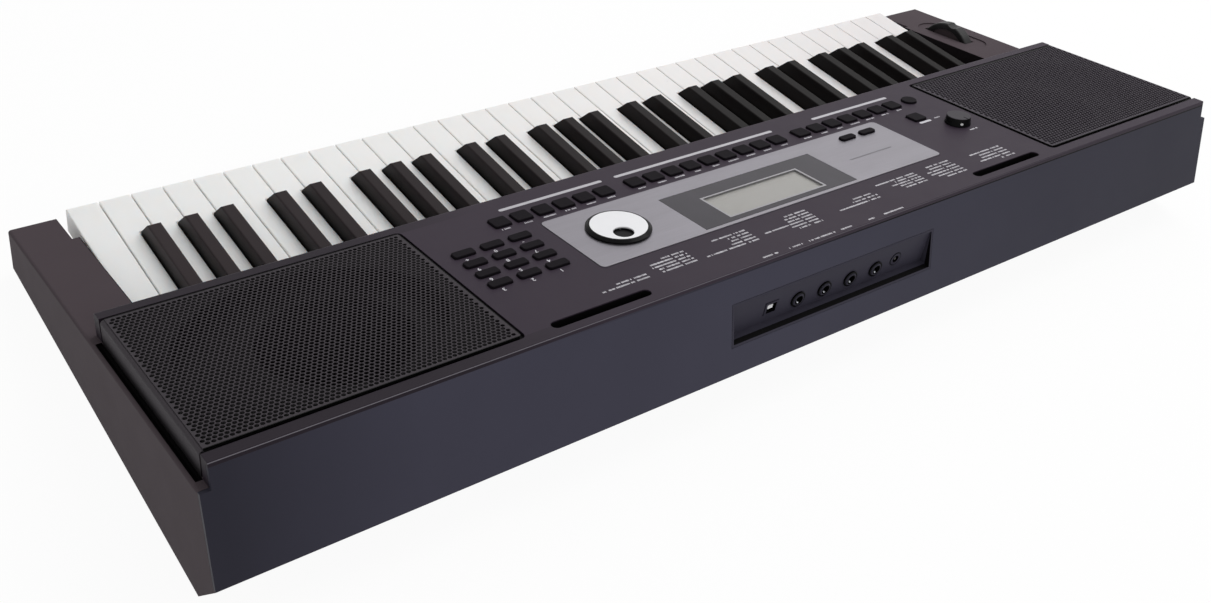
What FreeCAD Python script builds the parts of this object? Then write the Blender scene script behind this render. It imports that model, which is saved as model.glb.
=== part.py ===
"""Arranger keyboard with built-in speakers, a display, a jog dial and a pitch wheel.

Millimetres. +X is the player's right, +Y the rear, +Z up. The origin is on the floor under the
middle of the instrument. Controls are placed on the sloping deck: x across, v up the slope from
the deck's front edge, w square to the deck with 0 on its face.
"""
import FreeCAD, Part
import math
import os

Vector = FreeCAD.Vector

# Case outline
case_length = 944.0
case_depth = 352.0
wall = 3.0
fit_gap = 0.3
cut_overrun = 5.0
foot_height = 5.0
cheek_front_height = 33.4
deck_tilt_deg = 9.8
deck_rise = 16.75
deck_depth = 174.5
deck_end_inset = 6.5
deck_edge_radius = 2.4
deck_rear_radius = 0.8
fall_key_gap = 3.2
rear_edge_height = 31.5
rear_lean_deg = 16.6
underside_setback = 25.4
treble_cheek_width = 38.0
bass_cheek_width = 56.8
cheek_edge_radius = 2.0
ledge_groove_depth = 2.0
ledge_groove_floor_share = 0.25
ledge_groove_rim_share = 0.34
cheek_notch_depth = 5.0
cheek_notch_length = 34.0

# Feet and case screws
foot_radius = 9.0
foot_inset_x = 32.0
foot_front_inset = 66.0
foot_rear_inset = 52.0
boss_radius = 6.0
boss_height = 9.0
post_radius = 4.0
screw_radius = 1.4
screw_length = 16.0
screw_hole_gap = 0.3
screw_head_radius = 3.3
screw_head_height = 3.0
cheek_screw_inset = 17.0
cheek_screw_front_inset = 26.0
cheek_screw_rear_inset = 66.0
deck_screw_rear_inset = 51.0
deck_screw_inner_x = 130.0
deck_screw_grille_gap = 8.4

# Keys
octave_count = 5
white_gap = 1.0
key_side_gap = 1.6
white_top_height = 39.7
white_height = 19.0
white_edge_radius = 0.9
key_wall = 1.6
key_top_wall = 2.4
black_rise = 11.5
black_setback = 46.0
black_front_run = 9.5
black_base_width = 12.6
black_top_width = 9.6
black_edge_radius = 1.2
black_tuck = 24.0
black_side_gap = 1.0
black_pitch_shares = (0.9, 2.1, 3.857, 5.0, 6.143)
key_tail_inset = 138.0
key_dip = 9.5
key_bar_depth = 12.0
key_bar_thickness = 3.0
key_level_gap = 0.6
key_seat_height = 23.0
key_tongue_length = 8.0
key_tongue_width = 7.0
key_stop_gap = 0.6

# Key frame, felts and contacts
key_frame_plate = 2.5
key_frame_lip = 6.0
felt_depth = 14.0
felt_thickness = 2.4
contact_inset = 78.0
contact_board_depth = 34.0
board_thickness = 1.6
contact_strip_depth = 20.0
contact_strip_thickness = 1.5
contact_dome_radius = 4.0

# Speaker grilles and speakers
grille_display_gap = 90.4
grille_front_inset = 11.0
grille_rear_inset = 10.5
grille_thickness = 2.0
grille_gap = 1.4
grille_edge_radius = 2.5
grille_corner = 3.0
grille_lip = 4.0
grille_lip_thickness = 2.6
speaker_place_share = 0.5
speaker_bay_share = 0.737
speaker_flange_thickness = 3.0
speaker_mouth_share = 0.781
speaker_depth = 28.0
speaker_back_share = 0.594
speaker_wall = 2.0
speaker_coil_radius = 11.0
speaker_cone_wall = 1.0
speaker_magnet_radius = 28.0
speaker_magnet_height = 18.0
baffle_seat = 8.0
baffle_rear_inset = 16.0

# Display panel, window and liquid crystal module
display_half_width = 170.0
display_front = 50.0
display_rear = 124.0
display_thickness = 1.4
display_corner = 4.0
display_sink = 1.0
window_half_width = 76.0
window_front = 67.0
window_rear = 120.5
lcd_half_width = 50.0
lcd_front = 80.0
lcd_rear = 116.5
lcd_frame = 6.0
lcd_hidden_margin = 0.4

# Control board under the deck
board_drop = 7.4
board_grille_gap = 8.4
board_front = 24.0
board_rear = 120.0
board_post_radius = 3.0
board_post_inner_x = 88.0
board_post_end_inset = 6.0
board_post_front = 48.0
board_post_rear = 114.0
switch_size = 6.0
switch_gap = 0.4

# Buttons
row_place = 35.0
button_pitch_share = 0.07028
button_width = 13.6
button_length = 12.6
button_rise = 1.8
button_corner = 1.6
button_edge = 0.5
cap_gap = 0.4
web_gap = 0.6
web_thickness = 1.5
button_travel = 1.0
row_left_count = 7
row_left_share = -0.5952
row_middle_count = 9
row_middle_share = 0.0
row_right_count = 6
row_right_share = 0.5676
pad_display_gap = 23.0
pad_pitch_x = 22.7
pad_columns = 3
pad_front = 59.3
pad_pitch_v = 14.9
pad_rows = 4
pad_width = 16.6
pad_length = 7.4
pad_corner = 1.8
pill_end_inset = 43.7
pill_pitch = 22.6
pill_count = 2
pill_place = 62.6
pill_width = 15.6
pill_length = 6.6
pill_corner = 2.2
knob_display_gap = 62.0
power_radius = 6.6
start_display_gap = 38.5
start_place = 63.7

# Volume knob and potentiometer
knob_place = 89.0
knob_radius = 11.0
knob_top_radius = 9.8
knob_height = 6.6
knob_edge = 0.7
knob_groove = 0.8
knob_lift = 0.5
pot_size = 16.0
bushing_radius = 3.5
shaft_radius = 3.0
shaft_gap = 0.3
shaft_height = 5.6

# Jog dial and encoder
dial_end_inset = 42.2
dial_place = 86.0
dial_radius = 23.7
dial_top_radius = 21.6
dial_skirt = 1.0
dial_height = 3.0
dial_lift = 0.5
dial_face_radius = 20.6
dial_face_thickness = 1.0
dial_face_gap = 0.1
dimple_radius = 7.5
dimple_offset = 10.7
dimple_turn_deg = 19.0
dimple_depth = 0.9
encoder_size = 13.0
encoder_shaft_height = 1.6

# Music stand slots
slot_grille_gap = 20.4
slot_length = 78.0
slot_rear_inset = 10.7
slot_width = 8.0
slot_depth = 14.0
slot_wall = 2.0

# Rear recess, jacks and boards
recess_x = -2.0
recess_width = 204.0
recess_bottom = 52.0
recess_top = 84.0
recess_wall = 1.6
jack_plate_thickness = 2.0
jack_plate_sink = 0.6
jack_first_x = -47.7
jack_pitch = 26.6
jack_count = 4
jack_height = 64.3
jack_bore_radius = 3.3
jack_bore_length = 22.0
jack_bushing_radius = 4.6
jack_bushing_out = 1.8
jack_hole_gap = 0.3
jack_nut_radius = 6.4
jack_nut_thickness = 1.2
jack_body_width = 13.0
jack_body_length = 25.0
usb_x = 58.5
usb_height = 66.0
usb_width = 12.0
usb_tall = 10.8
usb_length = 16.0
usb_mouth_width = 8.6
usb_mouth_tall = 7.8
usb_mouth_length = 9.0
usb_tongue_width = 5.4
usb_tongue_tall = 3.2
usb_tongue_inset = 1.5
usb_out = 0.6
dc_x = -69.5
dc_radius = 5.6
dc_mouth_radius = 2.9
dc_pin_radius = 1.0
dc_pin_length = 7.0
dc_length = 12.0
dc_body_width = 9.6
jack_board_half_width = 92.0
jack_board_depth = 31.0

# Main board, heat sink and inner screws
main_board_left = -200.0
main_board_right = 20.0
main_board_depth = 50.0
main_board_rear_inset = 60.0
main_board_lift = 6.0
main_board_post_radius = 3.5
main_board_post_inset = 5.0
chip_size = 22.0
chip_height = 3.0
chip_place_shares = (0.22, 0.42, 0.62)
sink_length = 46.0
sink_depth = 20.0
sink_height = 22.0
sink_base = 4.0
sink_fin = 2.0
sink_fin_count = 5
sink_place_share = 0.84
inner_screw_radius = 1.2
inner_screw_length = 5.0
inner_screw_head_radius = 2.6
inner_screw_head_height = 1.8
inner_screw_tip_gap = 0.4

# Pitch wheel, bracket and return spring
wheel_end_inset = 31.0
wheel_setback = 74.0
wheel_radius = 31.0
wheel_exposed = 11.3
wheel_width = 11.0
wheel_gap = 1.2
wheel_flat = 8.0
wheel_edge_radius = 1.5
wheel_hub_radius = 6.0
wheel_pin_radius = 3.0
wheel_pin_gap = 0.3
wheel_grip_radius = 9.0
wheel_grip_depth = 2.2
wheel_side_radius = 25.0
wheel_side_depth = 1.5
ear_gap = 4.0
ear_thickness = 3.0
ear_half_width = 8.0
spring_wire_radius = 0.5
spring_radius = 4.4
spring_pitch = 1.1
spring_turns = 2
spring_leg = 9.0
dish_length = 80.0
dish_width = 30.0
dish_depth = 1.2

# Worked-out places of the case
tilt = math.radians(deck_tilt_deg)
lean = math.radians(rear_lean_deg)
half_length = case_length / 2
front_y = -case_depth / 2
rear_y = case_depth / 2
bottom_z = foot_height
floor_z = bottom_z + wall
rear_edge_z = bottom_z + rear_edge_height
rear_foot_y = rear_y - underside_setback
cheek_front_z = bottom_z + cheek_front_height
deck_half = half_length - deck_end_inset
front_rail_y = front_y + cheek_notch_length


def slope_meets_rear(rise, inset=0.0):
    """Point (y, z) where a plane above the cheek plane meets the rear face or its inner offset."""
    slope = math.tan(tilt)
    back = math.tan(lean)
    start = cheek_front_z + rise / math.cos(tilt)
    reach = rear_y - inset / math.cos(lean)
    z = (start + (reach - front_y) * slope + rear_edge_z * back * slope) / (1 + back * slope)
    return (reach - (z - rear_edge_z) * back, z)


def rear_face_y(z):
    return rear_y - (z - rear_edge_z) * math.tan(lean)


def ledge_z(y):
    """Height of the cheek plane at y."""
    return cheek_front_z + (y - front_y) * math.tan(tilt)


deck_rear_y, deck_rear_z = slope_meets_rear(deck_rise)
deck_front_y = deck_rear_y - deck_depth * math.cos(tilt)
deck_front_z = deck_rear_z - deck_depth * math.sin(tilt)
deck_frame = FreeCAD.Placement(Vector(0, deck_front_y, deck_front_z),
                               FreeCAD.Rotation(Vector(1, 0, 0), deck_tilt_deg))
side_profile = [(front_y, bottom_z), (front_y, cheek_front_z), slope_meets_rear(0),
                (rear_y, rear_edge_z), (rear_foot_y, bottom_z)]

# Worked-out places of the keys
white_count = 7 * octave_count + 1
treble_inner_x = half_length - treble_cheek_width
bass_inner_x = bass_cheek_width - half_length
keys_right = treble_inner_x - key_side_gap
keys_left = bass_inner_x + key_side_gap
white_pitch = (keys_right - keys_left) / white_count
white_top_z = bottom_z + white_top_height
white_bottom_z = white_top_z - white_height
key_reach = case_depth - key_tail_inset
pivot_y = front_y + key_reach
key_rear_y = pivot_y - key_bar_depth / 2 - key_tongue_length
black_front_y = front_y + black_setback
black_slot = black_base_width + 2 * black_side_gap
key_seat_z = bottom_z + key_seat_height
black_top_z = white_top_z + black_rise
black_rear_y = deck_front_y + black_tuck
fall_depth = (deck_front_z - black_top_z - fall_key_gap) / math.cos(tilt)


def key_drop(y):
    """How far a fully pressed key sinks at y."""
    return key_dip * (pivot_y - y) / key_reach


def level_z(level):
    """Underside of the comb bar on one of the three stacked levels."""
    return key_seat_z + key_level_gap + level * (key_bar_thickness + key_level_gap)


# Small helpers
def box(x0, x1, y0, y1, z0, z1):
    return Part.makeBox(x1 - x0, y1 - y0, z1 - z0, Vector(x0, y0, z0))


def section(points, x0, x1):
    """Prism along X over an outline of (y, z) points."""
    corners = [Vector(x0, y, z) for y, z in points]
    face = Part.Face(Part.makePolygon(corners + corners[:1]))
    return face.extrude(Vector(x1 - x0, 0, 0))


def inset_outline(points, insets):
    """Convex outline with each side moved inwards by its own amount."""
    count = len(points)
    middle = [sum(p[i] for p in points) / count for i in range(2)]
    lines = []
    for i in range(count):
        (y0, z0), (y1, z1) = points[i], points[(i + 1) % count]
        length = math.hypot(y1 - y0, z1 - z0)
        normal = ((z0 - z1) / length, (y1 - y0) / length)
        offset = normal[0] * y0 + normal[1] * z0
        if normal[0] * middle[0] + normal[1] * middle[1] < offset:
            normal = (-normal[0], -normal[1])
            offset = -offset
        lines.append((normal, offset + insets[i]))
    corners = []
    for i in range(count):
        (a, p), (b, q) = lines[i - 1], lines[i]
        area = a[0] * b[1] - a[1] * b[0]
        corners.append(((p * b[1] - q * a[1]) / area, (a[0] * q - b[0] * p) / area))
    return corners


def deck_point(v, w):
    return (deck_front_y + v * math.cos(tilt) - w * math.sin(tilt),
            deck_front_z + v * math.sin(tilt) + w * math.cos(tilt))


def on_deck(shape):
    moved = shape.copy()
    moved.Placement = deck_frame.multiply(shape.Placement)
    return moved


def rod(place, direction, radius, length):
    return Part.makeCylinder(radius, length, place, direction)


def post(x, y, z0, z1, radius):
    return rod(Vector(x, y, z0), Vector(0, 0, 1), radius, z1 - z0)


def join(shapes):
    return shapes[0].fuse(shapes[1:]).removeSplitter()


def pill(x, v, width, length, w0, w1):
    """Prism with half-round ends, lying along x."""
    end = (width - length) / 2
    body = box(x - end, x + end, v - length / 2, v + length / 2, w0, w1)
    caps = [post(x + side * end, v, w0, w1, length / 2) for side in (-1, 1)]
    return join([body] + caps)


def rounded_block(x, v, width, length, w0, w1, corner):
    block = box(x - width / 2, x + width / 2, v - length / 2, v + length / 2, w0, w1)
    upright = [e for e in block.Edges if abs(e.tangentAt(e.FirstParameter).z) > math.cos(tilt)]
    return block.makeFillet(corner, upright)


def round_where(shape, radius, chosen):
    """Rounds the edges whose middle passes the test."""
    edges = [e for e in shape.Edges if chosen(e.BoundBox)]
    return shape.makeFillet(radius, edges)


def turned(points):
    """Solid of revolution about the w axis from (radius, w) points that start and end on it."""
    corners = [Vector(r, 0, w) for r, w in points]
    face = Part.Face(Part.makePolygon(corners + corners[:1]))
    return face.revolve(Vector(0, 0, 0), Vector(0, 0, 1), 360)


def moved_to(shape, x, v):
    moved = shape.copy()
    moved.translate(Vector(x, v, 0))
    return moved


def row_places(centre, count):
    return [centre + (i - (count - 1) / 2) * button_pitch for i in range(count)]


# Worked-out places on the deck
grille_inner_x = display_half_width + grille_display_gap
button_pitch = grille_inner_x * button_pitch_share
row_left_x = grille_inner_x * row_left_share
row_middle_x = grille_inner_x * row_middle_share
row_right_x = grille_inner_x * row_right_share
board_half_width = grille_inner_x - board_grille_gap
board_post_outer_x = board_half_width - board_post_end_inset
deck_screw_outer_x = grille_inner_x - deck_screw_grille_gap
pad_first_x = display_half_width + pad_display_gap
pill_inner_x = pill_end_inset - display_half_width
left_controls_x = -display_half_width - knob_display_gap
start_x = -display_half_width - start_display_gap
dial_x = display_half_width - dial_end_inset
slot_outer_x = grille_inner_x - slot_grille_gap
slot_inner_x = slot_outer_x - slot_length
slot_place = deck_depth - slot_rear_inset
speaker_bay = min(treble_inner_x - grille_inner_x, deck_depth)
speaker_flange_radius = speaker_bay / 2 * speaker_bay_share
speaker_mouth_radius = speaker_flange_radius * speaker_mouth_share
speaker_back_radius = speaker_flange_radius * speaker_back_share
speaker_screw_circle = (speaker_mouth_radius + speaker_wall + speaker_flange_radius) / 2

# Places of the case screws
cheek_screw_x = half_length - cheek_screw_inset
cheek_screw_places = [(front_y + cheek_screw_front_inset), (rear_y - cheek_screw_rear_inset)]
deck_screw_y = rear_y - deck_screw_rear_inset
deck_screw_places = [side * x for x in (deck_screw_inner_x, deck_screw_outer_x) for side in (-1, 1)]
case_screw_places = [(side * cheek_screw_x, y) for side in (-1, 1) for y in cheek_screw_places]
case_screw_places += [(x, deck_screw_y) for x in deck_screw_places]
boss_top_z = bottom_z + boss_height
head_seat_z = bottom_z + screw_head_height + fit_gap
screw_hole_radius = screw_radius + screw_hole_gap


def screw_post(x, y, top_z):
    """Post that hangs from a case wall and takes one screw."""
    body = post(x, y, boss_top_z, top_z, post_radius)
    hole = post(x, y, boss_top_z - cut_overrun, head_seat_z + screw_length + fit_gap, screw_hole_radius)
    return body, hole


# Case
def rear_panel_seat(x, depth, top_z):
    """Step in the right cheek's outer skin that the end of the rear panel covers."""
    seat_y = rear_y - depth / math.cos(lean)
    outline = [(seat_y, rear_edge_z), (rear_y + cut_overrun, rear_edge_z), (rear_y + cut_overrun, top_z),
               (seat_y - (top_z - rear_edge_z) * math.tan(lean), top_z)]
    return section(outline, x - cut_overrun, half_length + cut_overrun)


def ledge_groove():
    """Shadow groove in the right cheek's ledge, beside the end of the grille."""
    low = -deck_rise - ledge_groove_depth
    high = -deck_rise + cut_overrun
    rim_x = half_length - deck_end_inset * ledge_groove_rim_share
    floor_x = deck_half + deck_end_inset * ledge_groove_floor_share
    v0 = grille_front_inset - grille_gap
    v1 = deck_depth - grille_rear_inset + grille_gap
    spots = [(deck_half, low), (floor_x, low), (rim_x, -deck_rise), (rim_x, high), (deck_half, high)]
    corners = [Vector(x, v0, w) for x, w in spots]
    face = Part.Face(Part.makePolygon(corners + corners[:1]))
    return on_deck(face.extrude(Vector(0, v1 - v0, 0)))


def end_cheek(side):
    """Hollow end block with its sloping top; side is -1 for the bass end."""
    inner = treble_inner_x if side > 0 else -bass_inner_x
    stop = wall + fit_gap
    outline = inset_outline(side_profile, [0, 0, stop, stop, wall])
    hollow = inset_outline(side_profile, [wall, wall] + [-cut_overrun] * 3)
    outer = half_length - wall
    solid = section(outline, inner, outer)
    solid = solid.fuse(section(side_profile, outer, half_length)).removeSplitter()
    low_z = bottom_z - cut_overrun
    top_z = deck_rear_z
    solid = solid.cut(rear_panel_seat(outer, stop, top_z))
    notch_x = inner + cheek_notch_depth
    solid = solid.cut(box(inner - cut_overrun, notch_x, front_y - cut_overrun, front_rail_y, low_z, top_z))
    solid = solid.cut(section(hollow, notch_x + wall, outer))
    behind_notch = box(inner + wall, notch_x + wall, front_rail_y + wall, rear_y, low_z, top_z)
    solid = solid.cut(section(hollow, inner + wall, outer).common(behind_notch))
    solid = round_where(solid, cheek_edge_radius,
                        lambda b: b.XMin > half_length - fit_gap and b.ZMin > cheek_front_z - fit_gap
                        and b.YLength > case_depth / 2)
    solid = solid.cut(ledge_groove())
    for y in cheek_screw_places:
        body, hole = screw_post(cheek_screw_x, y, ledge_z(y) - wall / 2)
        solid = solid.fuse(body).cut(hole)
    if side < 0:
        solid = solid.mirror(Vector(0, 0, 0), Vector(1, 0, 0))
        solid = solid.cut(wheel_opening())
    return solid.removeSplitter()


def grille_openings():
    v0 = grille_front_inset - grille_gap
    v1 = deck_depth - grille_rear_inset + grille_gap
    inner = grille_inner_x - grille_gap
    outer = deck_half + cut_overrun
    right = box(inner, outer, v0, v1, -deck_rise, cut_overrun)
    right = round_where(right, grille_corner + grille_gap,
                        lambda b: b.XMax < inner + fit_gap and b.ZLength > deck_rise)
    return [right, right.mirror(Vector(0, 0, 0), Vector(1, 0, 0))]


def speaker_place():
    x = grille_inner_x + (treble_inner_x - grille_inner_x) * speaker_place_share
    return x, deck_depth * speaker_place_share


def deck_fittings():
    """Right half of what hangs under the deck at a grille: baffle with its mouth, and grille lips."""
    v0 = grille_front_inset - grille_gap
    v1 = deck_depth - grille_rear_inset + grille_gap
    low = -grille_thickness - fit_gap - grille_lip_thickness
    high = -grille_thickness - fit_gap
    x0 = grille_inner_x - grille_gap
    x1 = treble_inner_x
    ring = box(x0 - grille_lip, x1, v0 - grille_lip, v1 + grille_lip, low, high)
    ring = ring.cut(box(x0 + grille_lip, x1 + cut_overrun, v0 + grille_lip, v1 - grille_lip,
                        low - cut_overrun, high + cut_overrun))
    ring = ring.cut(box(x0 - cut_overrun - grille_lip, x1, v1, deck_depth + cut_overrun, -wall, cut_overrun))
    baffle = box(x0 - grille_lip, x1 + baffle_seat, wall / 2, deck_depth - baffle_rear_inset,
                 -deck_rise, -deck_rise + wall)
    x, v = speaker_place()
    mouth = moved_to(post(0, 0, -deck_rise - cut_overrun, 0, speaker_mouth_radius), x, v)
    hang = box(x0 - grille_lip, x0, wall / 2, deck_depth - baffle_rear_inset, -deck_rise, -wall / 2)
    holes = [screw_hole(sx, sv, -deck_rise, inner_screw_length) for sx, sv in speaker_screw_places(1)]
    return ring.fuse([baffle, hang]).cut(mouth).cut(Part.makeCompound(holes))


def screw_hole(x, v, w, depth):
    return post(x, v, w - cut_overrun, w + depth + inner_screw_tip_gap, inner_screw_radius + screw_hole_gap)


def speaker_screw_places(side):
    x, v = speaker_place()
    turn = math.pi / 4
    spots = []
    for quarter in range(4):
        angle = turn + quarter * math.pi / 2
        spots.append((side * (x + speaker_screw_circle * math.cos(angle)),
                      v + speaker_screw_circle * math.sin(angle)))
    return spots


board_post_places = [(side * x, v) for x in (board_post_inner_x, board_post_outer_x)
                     for v in (board_post_front, board_post_rear) for side in (-1, 1)]
board_top_w = -wall - board_drop


def board_posts():
    """Posts under the deck that carry the control board, and their screw holes."""
    posts = [post(x, v, board_top_w, -wall / 2, board_post_radius) for x, v in board_post_places]
    holes = [screw_hole(x, v, board_top_w, inner_screw_length - board_thickness) for x, v in board_post_places]
    return posts, holes


def deck_cuts():
    """Everything that is cut through the deck, in deck places."""
    low = -wall - cut_overrun
    high = cut_overrun
    grown = 2 * cap_gap
    cuts = []
    for centre, count in button_rows():
        for x in row_places(centre, count):
            cuts.append(rounded_block(x, row_place, button_width + grown, button_length + grown,
                                      low, high, button_corner))
    for x, v in pad_places():
        cuts.append(rounded_block(x, v, pad_width + grown, pad_length + grown, low, high,
                                  pad_corner + cap_gap))
    for x in pill_places():
        cuts.append(rounded_block(x, pill_place, pill_width + grown, pill_length + grown, low, high,
                                  pill_corner + cap_gap))
    cuts.append(rounded_block(start_x, start_place, button_width + grown, button_length + grown,
                              low, high, button_corner))
    cuts.append(post(left_controls_x, row_place, low, high, power_radius + cap_gap))
    cuts.append(post(left_controls_x, knob_place, low, high, bushing_radius + shaft_gap))
    cuts.append(post(dial_x, dial_place, low, high, bushing_radius + shaft_gap))
    cuts.append(display_plate(fit_gap, -display_sink, high))
    cuts.append(box(-lcd_half_width, lcd_half_width, lcd_front, lcd_rear, low, high))
    for side in (-1, 1):
        cuts.append(stand_slot(side, 0, -wall - slot_depth + slot_wall, high))
    return cuts


def stand_slot(side, grow, w0, w1):
    middle = side * (slot_inner_x + slot_outer_x) / 2
    length = slot_outer_x - slot_inner_x + 2 * grow
    return pill(middle, slot_place, length, slot_width + 2 * grow, w0, w1)


def upper_case():
    """Raised deck with its fall, grille seats, baffles, stand sockets and screw posts."""
    deck = section([deck_point(0, -wall), deck_point(0, 0), slope_meets_rear(deck_rise),
                    slope_meets_rear(deck_rise - wall)], -deck_half, deck_half)
    deck = deck.cut(on_deck(Part.makeCompound(grille_openings())))
    fall = section([deck_point(0, 0), deck_point(wall, 0), deck_point(wall, -fall_depth),
                    deck_point(0, -fall_depth)], bass_inner_x, treble_inner_x)
    ends = [on_deck(box(x0, x1, 0, wall, -deck_rise, 0))
            for x0, x1 in ((-deck_half, bass_inner_x), (treble_inner_x, deck_half))]
    strip_front = deck_depth - grille_rear_inset + grille_gap
    outline = inset_outline(side_profile, [0, -deck_rise, wall + fit_gap, 0, 0])
    inside = section(outline, -half_length, half_length)
    for x0, x1 in ((-deck_half, -deck_half + wall), (deck_half - wall, deck_half)):
        ends.append(on_deck(box(x0, x1, 0, grille_front_inset - grille_gap, -deck_rise, 0)))
        block = on_deck(box(x0, x1, strip_front, deck_depth + deck_rise, -deck_rise, 0))
        ends.append(block.common(inside))
    right = deck_fittings()
    fittings = [on_deck(right), on_deck(right.mirror(Vector(0, 0, 0), Vector(1, 0, 0)))]
    sockets = [on_deck(stand_slot(side, slot_wall, -wall - slot_depth, -wall / 2)) for side in (-1, 1)]
    posts, holes = board_posts()
    body = deck.fuse([fall] + ends + fittings + sockets + [on_deck(p) for p in posts])
    body = body.removeSplitter()
    body = round_where(body, deck_edge_radius,
                       lambda b: b.XLength > 2 * deck_half - fit_gap and b.YMax < deck_front_y + fit_gap
                       and b.ZMin > deck_front_z - fit_gap)
    body = round_where(body, deck_rear_radius,
                       lambda b: b.XLength > 2 * deck_half - fit_gap and b.ZMin > deck_rear_z - fit_gap)
    body = body.cut(on_deck(Part.makeCompound(deck_cuts() + holes)))
    underside = deck_front_z - (wall / 2) / math.cos(tilt) - deck_front_y * math.tan(tilt)
    for x in deck_screw_places:
        stem, hole = screw_post(x, deck_screw_y, underside + deck_screw_y * math.tan(tilt))
        body = body.fuse(stem).cut(hole)
    return body.removeSplitter()


def lower_case():
    """Bottom tray with its sloping rear edge, front rail, screw bosses and main board posts."""
    inner = inset_outline(side_profile, [wall + fit_gap, wall, wall, wall, wall])
    slope = (rear_y - rear_foot_y) / (rear_edge_z - bottom_z)
    inner_top_y = inner[4][0] + (rear_edge_z - inner[4][1]) * slope
    outline = [(inner[0][0], bottom_z), (rear_foot_y, bottom_z), (rear_y, rear_edge_z),
               (inner_top_y, rear_edge_z), inner[4], inner[0]]
    reach = half_length - wall - fit_gap
    tray = section(outline, -reach, reach)
    tray = tray.cut(box(bass_inner_x - cheek_notch_depth, treble_inner_x + cheek_notch_depth,
                        front_y - cut_overrun, front_rail_y, bottom_z - cut_overrun, deck_rear_z))
    rail_top = white_bottom_z - key_drop(front_rail_y) - 2 * key_stop_gap
    rail = box(bass_inner_x, treble_inner_x, front_rail_y, front_rail_y + wall, floor_z, rail_top)
    bosses = [post(x, y, bottom_z, boss_top_z, boss_radius) for x, y in case_screw_places]
    board_z = floor_z + main_board_lift
    stands = [post(x, y, bottom_z, board_z, main_board_post_radius) for x, y in main_board_post_places]
    tray = tray.fuse([rail] + bosses + stands)
    cuts = []
    for x, y in case_screw_places:
        cuts.append(post(x, y, bottom_z - cut_overrun, head_seat_z, screw_head_radius + screw_hole_gap))
        cuts.append(post(x, y, bottom_z, boss_top_z + cut_overrun, screw_hole_radius))
    depth = inner_screw_length - board_thickness + inner_screw_tip_gap
    for x, y in main_board_post_places:
        cuts.append(post(x, y, board_z - depth, board_z + cut_overrun, inner_screw_radius + screw_hole_gap))
    return tray.cut(Part.makeCompound(cuts)).removeSplitter()


recess_bottom_z = bottom_z + recess_bottom
recess_top_z = bottom_z + recess_top
jack_plate_y = rear_face_y(recess_top_z) - jack_plate_sink
jack_z = bottom_z + jack_height
usb_z = bottom_z + usb_height


def recess_box(shrink, y0, y1):
    half = recess_width / 2 - shrink
    return box(recess_x - half, recess_x + half, y0, y1, recess_bottom_z + shrink, recess_top_z - shrink)


def rear_panel():
    """Leaning rear wall over the whole length, notched at its upper corners, open for the jack panel."""
    inner_edge = rear_y - wall / math.cos(lean)
    low = section([(rear_y, rear_edge_z), slope_meets_rear(0), slope_meets_rear(0, wall),
                   (inner_edge, rear_edge_z)], -half_length, half_length)
    high = section([slope_meets_rear(0), slope_meets_rear(deck_rise - wall),
                    slope_meets_rear(deck_rise - wall, wall), slope_meets_rear(0, wall)],
                   -deck_half, deck_half)
    return join([low, high]).cut(recess_box(0, 0, rear_y + cut_overrun))


def jack_panel():
    """Recessed plate that carries the sockets, with a shelf below and cheeks at its ends."""
    inside = section(inset_outline(side_profile, [0, -deck_rise, 0, 0, 0]), -half_length, half_length)
    back_y = jack_plate_y - jack_plate_thickness
    body = recess_box(fit_gap, back_y, rear_y).common(inside)
    body = body.cut(recess_box(fit_gap + recess_wall, jack_plate_y, rear_y))
    cuts = [rod(Vector(x, back_y - cut_overrun, jack_z), Vector(0, 1, 0), jack_bushing_radius + jack_hole_gap,
                jack_plate_thickness + 2 * cut_overrun) for x in jack_places()]
    cuts.append(box(usb_x - usb_width / 2 - fit_gap, usb_x + usb_width / 2 + fit_gap, back_y - cut_overrun,
                    jack_plate_y + cut_overrun, usb_z - usb_tall / 2 - fit_gap, usb_z + usb_tall / 2 + fit_gap))
    cuts.append(rod(Vector(dc_x, back_y - cut_overrun, usb_z), Vector(0, 1, 0), dc_radius + jack_hole_gap,
                    jack_plate_thickness + 2 * cut_overrun))
    return body.cut(Part.makeCompound(cuts))


# Grilles and speakers
def grille(side):
    """Shallow pan: the pierced top plate, with an outer end that turns down to the cheek."""
    v1 = deck_depth - grille_rear_inset
    top = box(grille_inner_x, deck_half, grille_front_inset, v1, -grille_thickness, 0)
    end = box(deck_half - grille_thickness, deck_half, grille_front_inset, v1, -deck_rise, 0)
    pan = join([top, end])
    pan = round_where(pan, grille_edge_radius,
                      lambda b: b.XMin > deck_half - fit_gap and b.ZMin > -fit_gap)
    pan = round_where(pan, grille_corner,
                      lambda b: b.XMax < grille_inner_x + fit_gap and b.ZLength > grille_thickness / 2)
    if side < 0:
        pan = pan.mirror(Vector(0, 0, 0), Vector(1, 0, 0))
    return on_deck(pan)


def both_speakers(shape):
    x, v = speaker_place()
    return Part.makeCompound([on_deck(moved_to(shape, side * x, v)) for side in (-1, 1)])


speaker_top_w = -deck_rise - speaker_flange_thickness
speaker_back_w = speaker_top_w - speaker_depth


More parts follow.
